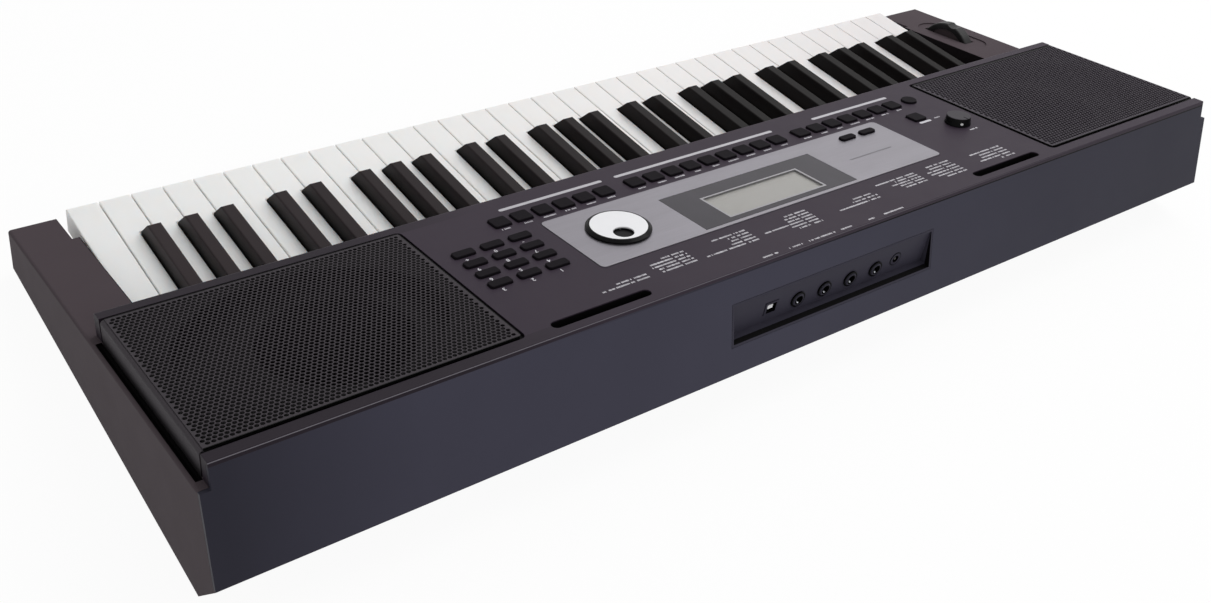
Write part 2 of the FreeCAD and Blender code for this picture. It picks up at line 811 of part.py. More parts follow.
def speaker_baskets():
    outer = turned([(0, -deck_rise), (speaker_flange_radius, -deck_rise),
                    (speaker_flange_radius, speaker_top_w),
                    (speaker_mouth_radius + speaker_wall, speaker_top_w),
                    (speaker_back_radius, speaker_back_w), (0, speaker_back_w)])
    inner = turned([(0, -deck_rise + cut_overrun), (speaker_mouth_radius, -deck_rise + cut_overrun),
                    (speaker_mouth_radius, speaker_top_w),
                    (speaker_back_radius - speaker_wall, speaker_back_w + speaker_wall),
                    (0, speaker_back_w + speaker_wall)])
    basket = outer.cut(inner)
    basket = basket.cut(post(0, 0, speaker_back_w - cut_overrun, -deck_rise, speaker_coil_radius + fit_gap))
    x, v = speaker_place()
    for sx, sv in speaker_screw_places(1):
        basket = basket.cut(post(sx - x, sv - v, speaker_top_w - cut_overrun, cut_overrun,
                                 inner_screw_radius + screw_hole_gap))
    return both_speakers(basket)


def speaker_cones():
    rim = speaker_mouth_radius - fit_gap
    neck_w = speaker_back_w + speaker_wall * 2
    top_w = speaker_top_w + speaker_cone_wall
    coil = speaker_coil_radius
    shell = [(coil, speaker_back_w), (coil, neck_w), (rim, speaker_top_w), (rim, top_w),
             (coil, neck_w + speaker_cone_wall), (0, neck_w + speaker_cone_wall + coil / 2),
             (0, neck_w), (coil - speaker_cone_wall, neck_w), (coil - speaker_cone_wall, speaker_back_w)]
    return both_speakers(turned(shell))


def speaker_magnets():
    return both_speakers(post(0, 0, speaker_back_w - speaker_magnet_height, speaker_back_w,
                              speaker_magnet_radius))


# Display
display_top_w = display_thickness - display_sink


def display_plate(grow, w0, w1):
    return rounded_block(0, (display_front + display_rear) / 2, 2 * (display_half_width + grow),
                         display_rear - display_front + 2 * grow, w0, w1, display_corner + grow)


def display_panel():
    """Silver overlay sunk into the deck, with its window and control openings."""
    plate = display_plate(0, -display_sink, display_top_w)
    low = -display_sink - cut_overrun
    cuts = [box(-window_half_width - fit_gap, window_half_width + fit_gap, window_front - fit_gap,
                window_rear + fit_gap, low, cut_overrun)]
    for x in pill_places():
        cuts.append(rounded_block(x, pill_place, pill_width + 2 * cap_gap, pill_length + 2 * cap_gap,
                                  low, cut_overrun, pill_corner + cap_gap))
    cuts.append(post(dial_x, dial_place, low, cut_overrun, bushing_radius + shaft_gap))
    return on_deck(plate.cut(Part.makeCompound(cuts)))


def display_window():
    return on_deck(box(-window_half_width, window_half_width, window_front, window_rear,
                       -display_sink, display_top_w))


def lcd_module():
    """Glass and frame under the deck; the glass part stands up into the opening."""
    frame = box(-lcd_half_width - lcd_frame, lcd_half_width + lcd_frame, lcd_front - lcd_frame,
                lcd_rear + lcd_frame, board_top_w, -wall - fit_gap)
    half = lcd_half_width - lcd_hidden_margin
    glass = box(-half, half, lcd_front + lcd_hidden_margin, lcd_rear - lcd_hidden_margin,
                board_top_w, -display_sink - fit_gap)
    return on_deck(join([frame, glass]))


# Control board and the controls on it
def control_board():
    """Board with one push switch under each button."""
    board = box(-board_half_width, board_half_width, board_front, board_rear,
                board_top_w - board_thickness, board_top_w)
    holes = [screw_hole(x, v, board_top_w - board_thickness, inner_screw_length) for x, v in board_post_places]
    places = [(x, row_place) for centre, count in button_rows() for x in row_places(centre, count)]
    places += pad_places() + [(x, pill_place) for x in pill_places()]
    places += [(left_controls_x, row_place), (start_x, start_place)]
    half = switch_size / 2
    top_w = web_low_w - button_travel - switch_gap
    switches = [box(x - half, x + half, v - half, v + half, board_top_w, top_w) for x, v in places]
    return on_deck(join([board.cut(Part.makeCompound(holes))] + switches))


def button_rows():
    return [(row_left_x, row_left_count), (row_middle_x, row_middle_count), (row_right_x, row_right_count)]


def pad_places():
    return [(pad_first_x + i * pad_pitch_x, pad_front + j * pad_pitch_v)
            for i in range(pad_columns) for j in range(pad_rows)]


def pill_places():
    return [pill_inner_x - i * pill_pitch for i in range(pill_count)]


web_top_w = -wall - web_gap
web_low_w = web_top_w - web_thickness


def soften_top(cap, top_w):
    return round_where(cap, button_edge, lambda b: b.ZMin > top_w - cap_gap)


def strip(caps, x0, x1, v0, v1):
    """Caps moulded on one flexible strip that lies under the deck."""
    return on_deck(join([box(x0, x1, v0, v1, web_low_w, web_top_w)] + caps))


def square_cap(x, v):
    cap = rounded_block(x, v, button_width, button_length, web_low_w, button_rise, button_corner)
    return soften_top(cap, button_rise)


def button_row(centre, count):
    places = row_places(centre, count)
    caps = [square_cap(x, row_place) for x in places]
    return strip(caps, places[0] - button_width / 2, places[-1] + button_width / 2,
                 row_place - button_length / 2, row_place + button_length / 2)


def number_pad():
    places = pad_places()
    caps = [soften_top(rounded_block(x, v, pad_width, pad_length, web_low_w, button_rise, pad_corner),
                       button_rise) for x, v in places]
    return strip(caps, places[0][0] - pad_width / 2, places[-1][0] + pad_width / 2,
                 places[0][1] - pad_length / 2, places[-1][1] + pad_length / 2)


def display_buttons():
    places = pill_places()
    top = display_top_w + button_rise
    caps = [soften_top(rounded_block(x, pill_place, pill_width, pill_length, web_low_w, top, pill_corner), top)
            for x in places]
    return strip(caps, places[-1] - pill_width / 2, places[0] + pill_width / 2,
                 pill_place - pill_length / 2, pill_place + pill_length / 2)


def power_button():
    cap = soften_top(post(left_controls_x, row_place, web_low_w, button_rise, power_radius), button_rise)
    half = power_radius + web_thickness
    return strip([cap], left_controls_x - half, left_controls_x + half, row_place - half, row_place + half)


def start_button():
    half_x = button_width / 2 + web_thickness
    half_v = button_length / 2 + web_thickness
    return strip([square_cap(start_x, start_place)], start_x - half_x, start_x + half_x,
                 start_place - half_v, start_place + half_v)


def rotary_part(x, v, size, shaft_top):
    """Square body on the control board with a bushing through the deck and a plain shaft."""
    body = box(-size / 2, size / 2, -size / 2, size / 2, board_top_w, -wall)
    bushing = post(0, 0, -wall, 0, bushing_radius)
    shaft = post(0, 0, 0, shaft_top, shaft_radius)
    return on_deck(moved_to(join([body, bushing, shaft]), x, v))


def volume_knob():
    top = knob_lift + knob_height
    knob = turned([(0, knob_lift), (knob_radius, knob_lift), (knob_top_radius, top), (0, top)])
    knob = round_where(knob, knob_edge, lambda b: b.ZMin > top - fit_gap)
    knob = knob.cut(post(0, 0, 0, shaft_height + fit_gap, shaft_radius + shaft_gap))
    groove = box(-knob_groove / 2, knob_groove / 2, knob_top_radius / 2, knob_radius, top - knob_groove, top)
    return on_deck(moved_to(knob.cut(groove), left_controls_x, knob_place))


dial_low_w = display_top_w + dial_lift
dial_top_w = display_top_w + dial_height
face_low_w = dial_top_w - dial_face_thickness


def dimple_cut(radius, low):
    turn = math.radians(dimple_turn_deg)
    place = Vector(dimple_offset * math.sin(turn), dimple_offset * math.cos(turn), low)
    return rod(place, Vector(0, 0, 1), radius, cut_overrun)


def jog_dial():
    """Black skirted dial, hollowed for its face and for the finger dimple."""
    dial = turned([(0, dial_low_w), (dial_radius, dial_low_w), (dial_radius, dial_low_w + dial_skirt),
                   (dial_top_radius, dial_top_w), (0, dial_top_w)])
    dial = dial.cut(post(0, 0, face_low_w, dial_top_w + cut_overrun, dial_face_radius + dial_face_gap))
    dial = dial.cut(dimple_cut(dimple_radius, face_low_w - dimple_depth))
    dial = dial.cut(post(0, 0, 0, encoder_shaft_height + fit_gap, shaft_radius + shaft_gap))
    return on_deck(moved_to(dial, dial_x, dial_place))


def dial_face():
    face = post(0, 0, face_low_w, dial_top_w, dial_face_radius)
    face = face.cut(dimple_cut(dimple_radius, face_low_w - cut_overrun / 2))
    return on_deck(moved_to(face, dial_x, dial_place))


# Keys
def white_outline(step, top_key):
    """Left, right, tail left and tail right of one white key, from the octave's left edge."""
    left = step * white_pitch + white_gap / 2
    right = (step + 1) * white_pitch - white_gap / 2
    tail_left, tail_right = left, right
    for share in () if top_key else black_pitch_shares:
        low = share * white_pitch - black_slot / 2
        high = share * white_pitch + black_slot / 2
        if low < left < high:
            tail_left = high
        if low < right < high:
            tail_right = low
    return left, right, tail_left, tail_right


def white_key(step, level, top_key=False):
    """Hollow white key with its flexing tongue, at the octave's left edge."""
    left, right, tail_left, tail_right = white_outline(step, top_key)
    step_y = black_front_y - black_side_gap
    corners = [(left, front_y), (right, front_y), (right, step_y), (tail_right, step_y),
               (tail_right, key_rear_y), (tail_left, key_rear_y), (tail_left, step_y), (left, step_y)]
    points = [Vector(x, y, white_bottom_z) for i, (x, y) in enumerate(corners) if (x, y) != corners[i - 1]]
    if top_key:
        points = [p for p in points if p.y != step_y]
    key = Part.Face(Part.makePolygon(points + points[:1])).extrude(Vector(0, 0, white_height))
    key = round_where(key, white_edge_radius, lambda b: b.ZMin > white_top_z - fit_gap)
    low = white_bottom_z - cut_overrun
    high = white_top_z - key_top_wall
    key = key.cut(box(left + key_wall, right - key_wall, front_y + key_wall, step_y - key_wall, low, high))
    key = key.cut(box(tail_left + key_wall, tail_right - key_wall, front_y + key_wall,
                      key_rear_y - key_wall, low, high))
    return key.fuse(key_tongue((tail_left + tail_right) / 2, level))


def key_tongue(x, level):
    z = level_z(level)
    return box(x - key_tongue_width / 2, x + key_tongue_width / 2, key_rear_y - key_wall,
               pivot_y - key_bar_depth / 2 + key_wall, z, z + key_bar_thickness)


def black_key(share, level):
    """Black key with tapered sides and a sloping front, hollow from below."""
    x = share * white_pitch

    def ring(half, y0, z):
        spots = [(x - half, y0), (x + half, y0), (x + half, black_rear_y), (x - half, black_rear_y)]
        corners = [Vector(px, py, z) for px, py in spots]
        return Part.makePolygon(corners + corners[:1])

    base = black_base_width / 2
    root = box(x - base, x + base, black_front_y, key_rear_y, white_bottom_z, white_top_z)
    cap = Part.makeLoft([ring(base, black_front_y, white_top_z),
                         ring(black_top_width / 2, black_front_y + black_front_run, black_top_z)], True, True)
    cap = round_where(cap, black_edge_radius,
                      lambda b: b.ZMin > black_top_z - fit_gap and b.YMin < black_rear_y - fit_gap)
    key = root.fuse(cap).removeSplitter()
    half = black_top_width / 2 - key_wall
    low = white_bottom_z - cut_overrun
    front = black_front_y + black_front_run + key_wall
    key = key.cut(box(x - half, x + half, front, black_rear_y - key_wall, low, black_top_z - key_top_wall))
    key = key.cut(box(x - half, x + half, front, key_rear_y - key_wall, low, white_top_z - key_top_wall))
    return key.fuse(key_tongue(x, level))


def comb(keys, level, octave, width):
    """Keys moulded on one bar, shifted to their octave."""
    z = level_z(level)
    bar = box(white_gap, width - white_gap, pivot_y - key_bar_depth / 2, pivot_y + key_bar_depth / 2,
              z, z + key_bar_thickness)
    shape = join([bar] + keys)
    shape.translate(Vector(keys_left + octave * 7 * white_pitch, 0, 0))
    return shape


def key_combs():
    """The three moulded combs of each octave, and the single top key."""
    width = 7 * white_pitch
    outer = [white_key(step, 0) for step in (0, 2, 4, 6)]
    inner = [white_key(step, 1) for step in (1, 3, 5)]
    black = [black_key(share, 2) for share in black_pitch_shares]
    combs = {}
    for octave in range(octave_count):
        name = "octave_%d" % (octave + 1)
        combs[name + "_white_keys_ceg_b"] = comb(outer, 0, octave, width)
        combs[name + "_white_keys_dfa"] = comb(inner, 1, octave, width)
        combs[name + "_black_keys"] = comb(black, 2, octave, width)
    combs["top_white_key"] = comb([white_key(0, 0, True)], 0, octave_count, white_pitch)
    return combs


frame_rear_y = pivot_y + key_bar_depth / 2
frame_left = bass_inner_x + fit_gap
frame_right = treble_inner_x - fit_gap
frame_front_y = front_rail_y + wall + fit_gap
felt_front_y = frame_front_y
felt_top_z = white_bottom_z - key_drop(felt_front_y) - key_stop_gap
contact_y = pivot_y - contact_inset
contact_board_top = floor_z + key_frame_plate + board_thickness


def key_frame():
    """Bed of the keyboard: base, front stop ledge and rear seat for the combs."""
    base = box(frame_left, frame_right, frame_front_y, frame_rear_y + key_frame_lip,
               floor_z, floor_z + key_frame_plate)
    ledge = box(frame_left, frame_right, felt_front_y, felt_front_y + felt_depth,
                floor_z, felt_top_z - felt_thickness)
    seat = box(frame_left, frame_right, pivot_y - key_bar_depth / 2, frame_rear_y, floor_z, key_seat_z)
    hollow = box(frame_left + wall, frame_right - wall, pivot_y - key_bar_depth / 2 + wall,
                 frame_rear_y - wall, floor_z - cut_overrun, key_seat_z - wall)
    return join([base, ledge, seat]).cut(hollow)


def key_felts():
    return box(frame_left, frame_right, felt_front_y, felt_front_y + felt_depth,
               felt_top_z - felt_thickness, felt_top_z)


def contact_board():
    return box(frame_left + wall, frame_right - wall, contact_y - contact_board_depth / 2,
               contact_y + contact_board_depth / 2, contact_board_top - board_thickness, contact_board_top)


def contact_rubbers():
    """Rubber strip with one dome under each key."""
    top_z = white_bottom_z - key_drop(contact_y) - key_stop_gap
    strip_top = contact_board_top + contact_strip_thickness
    base = box(frame_left + wall, frame_right - wall, contact_y - contact_strip_depth / 2,
               contact_y + contact_strip_depth / 2, contact_board_top, strip_top)
    places = []
    for octave in range(octave_count):
        start = keys_left + octave * 7 * white_pitch
        for step in range(7):
            outline = white_outline(step, False)
            places.append(start + (outline[2] + outline[3]) / 2)
        places += [start + share * white_pitch for share in black_pitch_shares]
    places.append(keys_right - white_pitch / 2)
    domes = [post(x, contact_y, contact_board_top, top_z, contact_dome_radius) for x in places]
    return join([base] + domes)


# Sockets and boards
def jack_places():
    return [jack_first_x + i * jack_pitch for i in range(jack_count)]


jack_back_y = jack_plate_y - jack_plate_thickness
jack_board_top = jack_z - jack_body_width / 2


def phone_jacks():
    """Sockets for 6.35 mm plugs: body, threaded bushing, nut and bore."""
    jacks = []
    for x in jack_places():
        body = box(x - jack_body_width / 2, x + jack_body_width / 2, jack_back_y - jack_body_length,
                   jack_back_y, jack_board_top, jack_z + jack_body_width / 2)
        axis = Vector(0, 1, 0)
        bushing = rod(Vector(x, jack_back_y, jack_z), axis, jack_bushing_radius,
                      jack_plate_thickness + jack_bushing_out)
        nut = rod(Vector(x, jack_plate_y, jack_z), axis, jack_nut_radius, jack_nut_thickness)
        mouth_y = jack_plate_y + jack_bushing_out
        bore = rod(Vector(x, mouth_y - jack_bore_length, jack_z), axis, jack_bore_radius,
                   jack_bore_length + cut_overrun)
        jacks.append(join([body, bushing, nut]).cut(bore))
    return Part.makeCompound(jacks)


def usb_socket():
    """Square socket shell with its contact tongue."""
    mouth_y = jack_plate_y + usb_out
    half = usb_width / 2
    body = box(usb_x - half, usb_x + half, mouth_y - usb_length, mouth_y,
               usb_z - usb_tall / 2, usb_z + usb_tall / 2)
    leg = box(usb_x - half, usb_x + half, mouth_y - usb_length, jack_back_y - fit_gap,
              jack_board_top, usb_z)
    hole = box(usb_x - usb_mouth_width / 2, usb_x + usb_mouth_width / 2, mouth_y - usb_mouth_length,
               mouth_y + cut_overrun, usb_z - usb_mouth_tall / 2, usb_z + usb_mouth_tall / 2)
    tongue = box(usb_x - usb_tongue_width / 2, usb_x + usb_tongue_width / 2, mouth_y - usb_mouth_length,
                 mouth_y - usb_tongue_inset, usb_z - usb_tongue_tall / 2, usb_z + usb_tongue_tall / 2)
    return join([join([body, leg]).cut(hole), tongue])


def dc_socket():
    """Barrel socket with its centre pin."""
    axis = Vector(0, 1, 0)
    nose = rod(Vector(dc_x, jack_back_y - fit_gap, usb_z), axis, dc_radius, jack_plate_thickness + 2 * fit_gap)
    half = dc_body_width / 2
    body = box(dc_x - half, dc_x + half, jack_back_y - dc_length, jack_back_y - fit_gap,
               jack_board_top, usb_z + half)
    hole = rod(Vector(dc_x, jack_plate_y - dc_pin_length, usb_z), axis, dc_mouth_radius,
               dc_pin_length + cut_overrun)
    pin = rod(Vector(dc_x, jack_plate_y - dc_pin_length - fit_gap, usb_z), axis, dc_pin_radius, dc_pin_length)
    return join([join([nose, body]).cut(hole), pin])


def jack_board():
    return box(-jack_board_half_width, jack_board_half_width, jack_back_y - jack_board_depth,
               jack_back_y - fit_gap, jack_board_top - board_thickness, jack_board_top)


main_board_rear = rear_y - main_board_rear_inset
main_board_front = main_board_rear - main_board_depth
main_board_post_places = [(x, y) for x in (main_board_left + main_board_post_inset,
                                           main_board_right - main_board_post_inset)
                          for y in (main_board_front + main_board_post_inset,
                                    main_board_rear - main_board_post_inset)]
main_board_z = floor_z + main_board_lift


def main_board_place(share):
    return main_board_left + (main_board_right - main_board_left) * share


def main_board():
    board = box(main_board_left, main_board_right, main_board_front, main_board_rear,
                main_board_z, main_board_z + board_thickness)
    holes = [post(x, y, main_board_z - cut_overrun, main_board_z + cut_overrun,
                  inner_screw_radius + screw_hole_gap) for x, y in main_board_post_places]
    board = board.cut(Part.makeCompound(holes))
    middle = (main_board_front + main_board_rear) / 2
    top = main_board_z + board_thickness
    chips = [box(main_board_place(share) - chip_size / 2, main_board_place(share) + chip_size / 2,
                 middle - chip_size / 2, middle + chip_size / 2, top, top + chip_height)
             for share in chip_place_shares]
    return join([board] + chips)


def amplifier_heat_sink():
    """Finned block on the main board."""
    x = main_board_place(sink_place_share)
    middle = (main_board_front + main_board_rear) / 2
    low = main_board_z + board_thickness
    x0, x1 = x - sink_length / 2, x + sink_length / 2
    y0, y1 = middle - sink_depth / 2, middle + sink_depth / 2
    base = box(x0, x1, y0, y1, low, low + sink_base)
    step = (sink_length - sink_fin) / (sink_fin_count - 1)
    fins = [box(x0 + i * step, x0 + i * step + sink_fin, y0, y1, low, low + sink_height)
            for i in range(sink_fin_count)]
    return join([base] + fins)


# Fasteners and feet
def case_screws():
    screws = []
    for x, y in case_screw_places:
        head = post(x, y, head_seat_z - screw_head_height, head_seat_z, screw_head_radius)
        shank = post(x, y, head_seat_z, head_seat_z + screw_length, screw_radius)
        screws.append(join([head, shank]))
    return Part.makeCompound(screws)


def inner_screws():
    """Identical screws of the speakers, the control board and the main board."""
    def screw(w):
        """Screw along +w whose head bears on a face at w."""
        return join([post(0, 0, w - inner_screw_head_height, w, inner_screw_head_radius),
                     post(0, 0, w, w + inner_screw_length, inner_screw_radius)])

    places = [(x, v, speaker_top_w) for side in (-1, 1) for x, v in speaker_screw_places(side)]
    places += [(x, v, board_top_w - board_thickness) for x, v in board_post_places]
    screws = [on_deck(moved_to(screw(w), x, v)) for x, v, w in places]
    top = main_board_z + board_thickness
    for x, y in main_board_post_places:
        head = post(x, y, top, top + inner_screw_head_height, inner_screw_head_radius)
        shank = post(x, y, top - inner_screw_length, top, inner_screw_radius)
        screws.append(join([head, shank]))
    return Part.makeCompound(screws)


def rubber_feet():
    x_places = [-half_length + foot_inset_x, 0, half_length - foot_inset_x]
    y_places = [front_y + foot_front_inset, rear_y - foot_rear_inset]
    return Part.makeCompound([post(x, y, 0, bottom_z, foot_radius) for x in x_places for y in y_places])


# Pitch wheel
wheel_x = wheel_end_inset - half_length
wheel_y = front_y + wheel_setback
wheel_z = ledge_z(wheel_y) + wheel_exposed - wheel_radius
wheel_left = wheel_x - wheel_width / 2
wheel_right = wheel_x + wheel_width / 2


def wheel_opening():
    """Slot for the wheel and the shallow dish around it, cut into the cheek's top."""
    slot = rod(Vector(wheel_left - wheel_gap, wheel_y, wheel_z), Vector(1, 0, 0), wheel_radius + wheel_gap,
               wheel_width + 2 * wheel_gap)
    dish = pill(0, 0, dish_length, dish_width, -dish_depth, cut_overrun)
    dish.rotate(Vector(0, 0, 0), Vector(0, 0, 1), 90)
    dish.rotate(Vector(0, 0, 0), Vector(1, 0, 0), deck_tilt_deg)
    dish.translate(Vector(wheel_x, wheel_y, ledge_z(wheel_y)))
    return slot.fuse(dish)


def pitch_wheel():
    """Segment wheel with a finger dip, dished sides, hubs and stub pins."""
    axis = Vector(1, 0, 0)
    disc = rod(Vector(wheel_left, wheel_y, wheel_z), axis, wheel_radius, wheel_width)
    disc = disc.makeFillet(wheel_edge_radius, [e for e in disc.Edges if e.BoundBox.XLength < wheel_edge_radius])
    reach = wheel_radius + cut_overrun
    under = box(wheel_left - cut_overrun, wheel_right + cut_overrun, wheel_y - reach, wheel_y + reach,
                wheel_z - reach, wheel_z - wheel_flat)
    disc = disc.cut(under)
    grip_z = wheel_z + wheel_radius - wheel_grip_depth + wheel_grip_radius
    disc = disc.cut(rod(Vector(wheel_left - cut_overrun, wheel_y, grip_z), axis, wheel_grip_radius,
                        wheel_width + 2 * cut_overrun))
    for x0 in (wheel_left - cut_overrun, wheel_right - wheel_side_depth):
        disc = disc.cut(rod(Vector(x0, wheel_y, wheel_z), axis, wheel_side_radius,
                            cut_overrun + wheel_side_depth))
    hub_reach = fit_gap
    hub = rod(Vector(wheel_left - hub_reach, wheel_y, wheel_z), axis, wheel_hub_radius,
              wheel_width + 2 * hub_reach)
    pin_reach = ear_gap + ear_thickness
    pin = rod(Vector(wheel_left - pin_reach, wheel_y, wheel_z), axis, wheel_pin_radius,
              wheel_width + 2 * pin_reach)
    return join([disc, hub, pin])


def wheel_bracket():
    """Two ears on the case floor, tied together behind the wheel."""
    ears = []
    for x0 in (wheel_left - ear_gap - ear_thickness, wheel_right + ear_gap):
        ear = box(x0, x0 + ear_thickness, wheel_y - ear_half_width, wheel_y + ear_half_width,
                  floor_z, wheel_z + ear_half_width)
        foot = box(x0, x0 + ear_thickness, wheel_y, wheel_y + wheel_radius + wheel_gap + ear_half_width,
                   floor_z, floor_z + ear_thickness)
        ears.append(ear.fuse(foot))
    tie_y = wheel_y + wheel_radius + wheel_gap
    tie = box(wheel_left - ear_gap - ear_thickness, wheel_right + ear_gap + ear_thickness, tie_y,
              tie_y + ear_half_width, floor_z, floor_z + ear_thickness)
    holes = rod(Vector(wheel_left - ear_gap - ear_thickness - cut_overrun, wheel_y, wheel_z), Vector(1, 0, 0),
                wheel_pin_radius + wheel_pin_gap, wheel_width + 2 * (ear_gap + ear_thickness + cut_overrun))
    return join(ears + [tie]).cut(holes)


def wheel_spring():
    """Return spring round the right pin, beside the ear: two closed turns and their leg."""
    axis = Vector(1, 0, 0)
    first_x = wheel_right + ear_gap - spring_pitch - spring_wire_radius
    turns = [Part.makeTorus(spring_radius, spring_wire_radius,
                            Vector(first_x + i * spring_pitch, wheel_y, wheel_z), axis)
             for i in range(spring_turns)]
    leg = box(first_x, first_x + spring_pitch, wheel_y - spring_wire_radius, wheel_y + spring_wire_radius,
              wheel_z - spring_radius - spring_leg, wheel_z - spring_radius + spring_wire_radius / 2)
    return join(turns + [leg])


def main():
    parts = {
        "upper_case": upper_case(),
        "left_end_cheek": end_cheek(-1),
        "right_end_cheek": end_cheek(1),
        "lower_case": lower_case(),
        "rear_panel": rear_panel(),
        "jack_panel": jack_panel(),
        "left_grille": grille(-1),
        "right_grille": grille(1),
        "speaker_baskets": speaker_baskets(),
        "speaker_cones": speaker_cones(),
        "speaker_magnets": speaker_magnets(),
        "display_panel": display_panel(),
        "display_window": display_window(),
        "lcd_module": lcd_module(),
        "control_board": control_board(),
        "button_row_left": button_row(row_left_x, row_left_count),
        "button_row_middle": button_row(row_middle_x, row_middle_count),
        "button_row_right": button_row(row_right_x, row_right_count),
        "number_pad": number_pad(),
        "display_buttons": display_buttons(),
        "power_button": power_button(),
        "start_button": start_button(),
        "volume_knob": volume_knob(),
        "volume_pot": rotary_part(left_controls_x, knob_place, pot_size, shaft_height),
        "jog_dial": jog_dial(),
        "dial_face": dial_face(),
        "dial_encoder": rotary_part(dial_x, dial_place, encoder_size, encoder_shaft_height),
        "key_frame": key_frame(),
        "key_felts": key_felts(),
        "contact_board": contact_board(),
        "contact_rubbers": contact_rubbers(),
        "phone_jacks": phone_jacks(),
        "usb_socket": usb_socket(),
        "dc_socket": dc_socket(),
        "jack_board": jack_board(),
        "main_board": main_board(),
        "amplifier_heat_sink": amplifier_heat_sink(),
        "case_screws": case_screws(),
        "inner_screws": inner_screws(),
        "rubber_feet": rubber_feet(),
        "pitch_wheel": pitch_wheel(),
        "wheel_bracket": wheel_bracket(),
        "wheel_spring": wheel_spring(),
    }
    parts.update(key_combs())
    os.makedirs("parts", exist_ok=True)
    for name, shape in parts.items():
        shape.exportStep("parts/%s.step" % name)
        size = shape.BoundBox
        print("%-32s %d solids %s %9.0f mm3 x %.1f..%.1f y %.1f..%.1f z %.1f..%.1f" % (
            name, len(shape.Solids), "ok" if shape.isValid() else "INVALID", shape.Volume,
            size.XMin, size.XMax, size.YMin, size.YMax, size.ZMin, size.ZMax))


main()
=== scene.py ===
"""Looks of a 61-key arranger keyboard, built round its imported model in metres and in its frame.

The sections follow the instrument as it is put together, from the bottom tray to the printing.
"""
import math
import bmesh
import bpy
from mathutils import Matrix, Vector


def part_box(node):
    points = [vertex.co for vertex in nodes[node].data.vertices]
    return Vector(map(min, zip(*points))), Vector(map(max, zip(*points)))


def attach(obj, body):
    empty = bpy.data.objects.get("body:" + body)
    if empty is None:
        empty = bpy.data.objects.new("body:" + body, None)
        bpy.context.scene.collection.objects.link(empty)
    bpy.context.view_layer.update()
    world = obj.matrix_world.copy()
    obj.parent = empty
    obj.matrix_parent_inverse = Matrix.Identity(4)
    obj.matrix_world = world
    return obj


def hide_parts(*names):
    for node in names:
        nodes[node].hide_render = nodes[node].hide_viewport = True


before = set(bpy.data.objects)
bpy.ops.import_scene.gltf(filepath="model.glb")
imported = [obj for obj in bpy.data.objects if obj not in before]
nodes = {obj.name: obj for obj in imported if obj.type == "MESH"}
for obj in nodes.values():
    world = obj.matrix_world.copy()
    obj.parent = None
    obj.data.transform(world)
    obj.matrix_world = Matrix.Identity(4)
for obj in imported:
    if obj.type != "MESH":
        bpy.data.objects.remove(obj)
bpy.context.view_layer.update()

# Lower case: the bottom tray that carries the keyboard and the boards. It is moulded in dark ABS with
# a coarse spark-eroded grain that hides scratches, and the deck and cheeks are screwed down on it.
MM = 0.001


class Wire:
    """An output socket in a node tree. Sums on it add Math nodes, and node() adds any other node."""

    def __init__(self, socket):
        self.socket = socket
        self.tree = socket.id_data

    def node(self, kind, settings, sockets, out=0):
        made = self.tree.nodes.new(kind)
        for name, value in settings.items():
            setattr(made, name, value)
        for key, value in sockets.items():
            for each in value if isinstance(value, list) else [value]:
                if isinstance(each, Wire):
                    self.tree.links.new(each.socket, made.inputs[key])
                else:
                    made.inputs[key].default_value = each
        return Wire(made.outputs[out])

    def maths(self, operation, first, second):
        return self.node("ShaderNodeMath", {"operation": operation}, {0: first, 1: second})

    def __add__(self, other):
        return self.maths("ADD", self, other)

    def __sub__(self, other):
        return self.maths("SUBTRACT", self, other)

    def __rsub__(self, other):
        return self.maths("SUBTRACT", other, self)

    def __mul__(self, other):
        return self.maths("MULTIPLY", self, other)

    def __mod__(self, other):
        return self.maths("MODULO", self, other)

    def __gt__(self, other):
        return self.maths("GREATER_THAN", self, other)

    def __lt__(self, other):
        return self.maths("LESS_THAN", self, other)

    def __abs__(self):
        return self.maths("ABSOLUTE", self, 0.0)

    __radd__ = __add__
    __rmul__ = __mul__


def tone(red, green, blue):
    """A colour in steps of 0 to 255, as the shader takes it."""
    steps = [level / 255 for level in (red, green, blue)]
    return tuple(s / 12.92 if s < 0.04045 else ((s + 0.055) / 1.055) ** 2.4 for s in steps) + (1.0,)


def shaded(colour, share):
    return tuple(level * share for level in colour[:3]) + (1.0,)


def new_finish(name, **sockets):
    """A material with its constant sockets set; also its shader and its place wire."""
    finish = bpy.data.materials.new(name)
    finish.use_nodes = True
    shader = finish.node_tree.nodes["Principled BSDF"]
    for socket, value in sockets.items():
        shader.inputs[socket.replace("_", " ").title().replace("Ior", "IOR")].default_value = value
    coordinates = finish.node_tree.nodes.new("ShaderNodeTexCoord")
    return finish, shader, Wire(coordinates.outputs["Object"])


def feed(shader, **wires):
    for socket, wire in wires.items():
        wire.tree.links.new(wire.socket, shader.inputs[socket.replace("_", " ").title()])


def noise(place, size, detail=2.0, roughness=0.5):
    """Noise whose spots are about this many metres across."""
    return place.node("ShaderNodeTexNoise", {}, {"Vector": place, "Scale": 1 / size, "Detail": detail,
                                                 "Roughness": roughness})


def mixed(share, first, second):
    return share.node("ShaderNodeMix", {"data_type": "RGBA"}, {0: share, 6: first, 7: second}, 2)


def stretched(place, across, along, up):
    return place.node("ShaderNodeMapping", {}, {"Vector": place, "Scale": (across, along, up)})


def relief(place, height, depth, edge):
    """Surface grain of this depth over edges that are softened by this radius, both in metres."""
    rounded = place.node("ShaderNodeBevel", {"samples": 4}, {"Radius": edge})
    return place.node("ShaderNodeBump", {}, {"Strength": 0.6, "Distance": depth, "Height": height,
                                             "Normal": rounded})


flow_length, hand_patch = 120 * MM, 26 * MM


